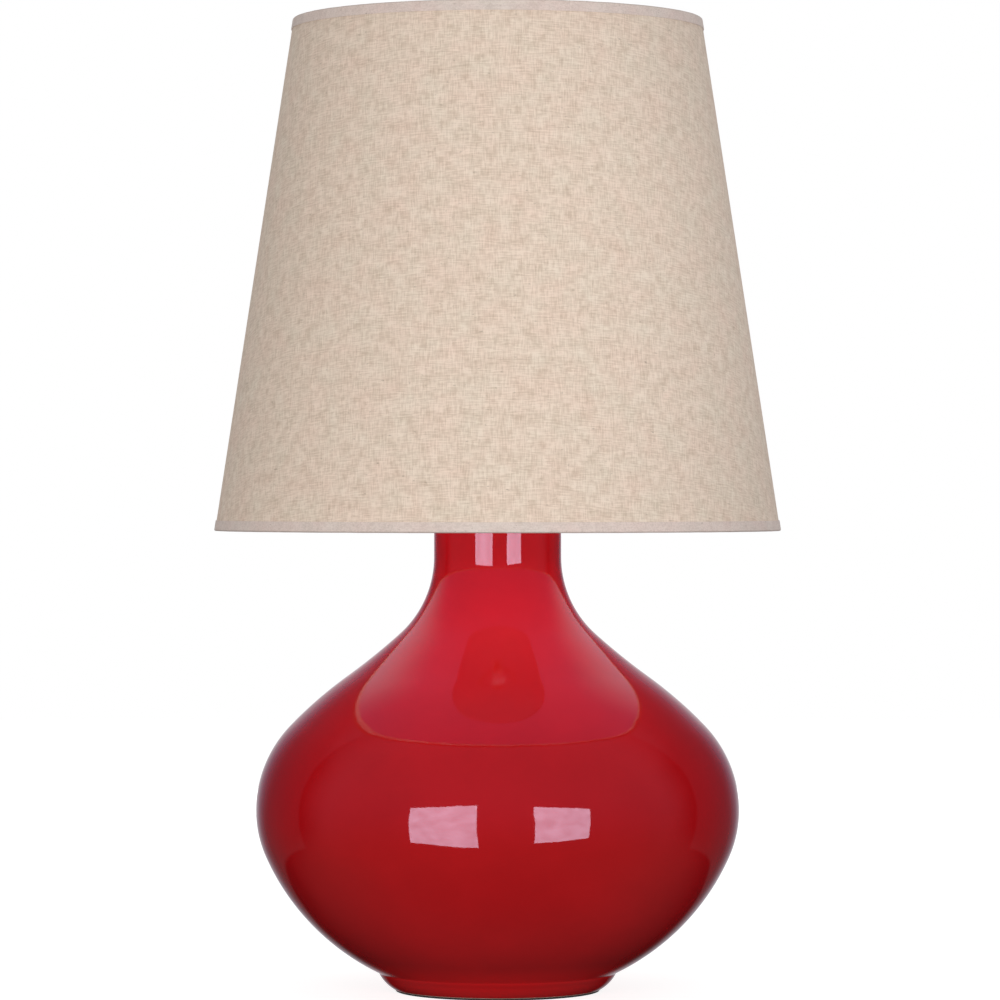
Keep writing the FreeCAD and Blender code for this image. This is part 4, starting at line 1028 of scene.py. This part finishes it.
# %% Metals
def metal_material(name, bright, dull, roughness, smudge_scale, depth):
    """A metal that is duller and rougher where it is smudged."""
    material, tree = new_material(name)
    worn = place_group(tree, handled_metal, Vector=own_place(tree), Smudge_Scale=smudge_scale)
    base = mixed(tree, worn["Smudges"], colour(*bright), colour(*dull))
    base = mixed(tree, calculate(tree, "MULTIPLY", worn["Spots"], 0.35), base, colour(*dull))
    rough = stretched(tree, worn["Smudges"], 0.0, 1.0, *roughness)
    finish_material(tree, base, rough, worn["Scratches"], depth, Metallic=1.0)
    return material


finishes = {
    name: metal_material(name, *values)
    for name, *values in (
        ("brass_plate", (0.83, 0.61, 0.30), (0.72, 0.50, 0.23), (0.2, 0.34), 60.0, 0.000008),
        ("zinc_steel", (0.68, 0.69, 0.70), (0.50, 0.51, 0.51), (0.3, 0.48), 130.0, 0.00001),
        ("contact_brass", (0.80, 0.56, 0.27), (0.62, 0.42, 0.2), (0.32, 0.5), 90.0, 0.00001),
        ("bulb_metal", (0.80, 0.80, 0.79), (0.66, 0.66, 0.64), (0.24, 0.38), 110.0, 0.000008),
        ("filament_wire", (0.42, 0.40, 0.38), (0.28, 0.27, 0.26), (0.4, 0.6), 300.0, 0.000004),
    )
}
print("metals:", sorted(finishes))

# %% [markdown]
# Matt and moulded finishes
# Rubber, felt, moulded plastic, paper, wood and enamel differ in colour, in how rough they are, and in the size
# and depth of their grain.


# %% Matt finishes
def matt_material(name, first, second, roughness, scales, depth):
    """A surface with cloudy tones and a fine grain."""
    material, tree = new_material(name)
    cloud = place_group(tree, cloudy_tone, Vector=own_place(tree), Scale=scales[0], Fine_Scale=scales[1])
    tone = calculate(tree, "MULTIPLY", cloud["Tone"], 0.65)
    tone = calculate(tree, "MULTIPLY_ADD", cloud["Fine"], 0.35, tone)
    rough = stretched(tree, cloud["Tone"], 0.0, 1.0, *roughness)
    finish_material(tree, mixed(tree, tone, colour(*first), colour(*second)), rough, cloud["Fine"], depth)
    return material


for name, *values in (
    ("base_felt", (0.020, 0.020, 0.021), (0.045, 0.044, 0.044), (0.95, 1.0), (120.0, 1400.0), 0.0003),
    ("gasket_rubber", (0.022, 0.022, 0.023), (0.036, 0.036, 0.037), (0.6, 0.75), (90.0, 900.0), 0.00004),
    ("black_plastic", (0.014, 0.014, 0.015), (0.024, 0.024, 0.026), (0.32, 0.42), (80.0, 1600.0), 0.00001),
    ("phenolic", (0.026, 0.017, 0.013), (0.045, 0.030, 0.022), (0.22, 0.32), (160.0, 1100.0), 0.000008),
    ("fibre_paper", (0.42, 0.31, 0.19), (0.56, 0.43, 0.28), (0.7, 0.85), (200.0, 1500.0), 0.00003),
    ("white_wire", (0.78, 0.775, 0.76), (0.70, 0.69, 0.67), (0.28, 0.4), (120.0, 800.0), 0.00001),
    ("black_glass", (0.012, 0.012, 0.016), (0.026, 0.026, 0.034), (0.08, 0.16), (180.0, 1200.0), 0.000006),
):
    finishes[name] = matt_material(name, *values)
print("finishes so far:", sorted(finishes))

# %% Wood of the plug
finishes["plug_wood"], tree = new_material("plug_wood")
place = add_node(tree, "Mapping", Vector=own_place(tree), Location=(0.05, 0.01, 0)).outputs[0]
kinds = {"wave_type": "RINGS", "rings_direction": "Z"}
rings = add_node(tree, "TexWave", kinds, Vector=place, Scale=90.0, Distortion=4.0, Detail=2.0)
base = mixed(tree, rings.outputs["Fac"], colour(0.46, 0.30, 0.16), colour(0.62, 0.44, 0.26))
finish_material(tree, base, 0.7, rings.outputs["Fac"], 0.00005)
print("plug wood has", len(tree.nodes), "nodes")

# %% [markdown]
# Glass
# The bulb's envelope is etched inside, so it scatters light like thin fog. The stem inside it is clear.


# %% Glass
def glass_material(name, tint, roughness, scale):
    """Glass that is a little uneven in tint and gloss."""
    material, tree = new_material(name)
    cloud = place_group(tree, cloudy_tone, Vector=own_place(tree), Scale=scale, Fine_Scale=scale * 10)
    base = mixed(tree, calculate(tree, "MULTIPLY", cloud["Tone"], 0.3), tint, colour(0.93, 0.93, 0.92))
    rough = stretched(tree, cloud["Tone"], 0.0, 1.0, *roughness)
    finish_material(tree, base, rough, cloud["Fine"], 0.000004, IOR=1.5, Transmission_Weight=1.0)
    return material


finishes["frosted_glass"] = glass_material("frosted_glass", colour(0.97, 0.97, 0.96), (0.45, 0.55), 40.0)
finishes["clear_glass"] = glass_material("clear_glass", colour(0.98, 0.99, 0.98), (0.02, 0.05), 80.0)
print("glass is ready")

# %% Dress the CAD pieces
dressed = 0
for node, thing in frame["nodes"].items():
    slot = thing.material_slots[0].material.name.split(".")[0]
    if slot in finishes:
        dress(finishes[slot], node)
        dressed += 1
print("CAD pieces dressed:", dressed)
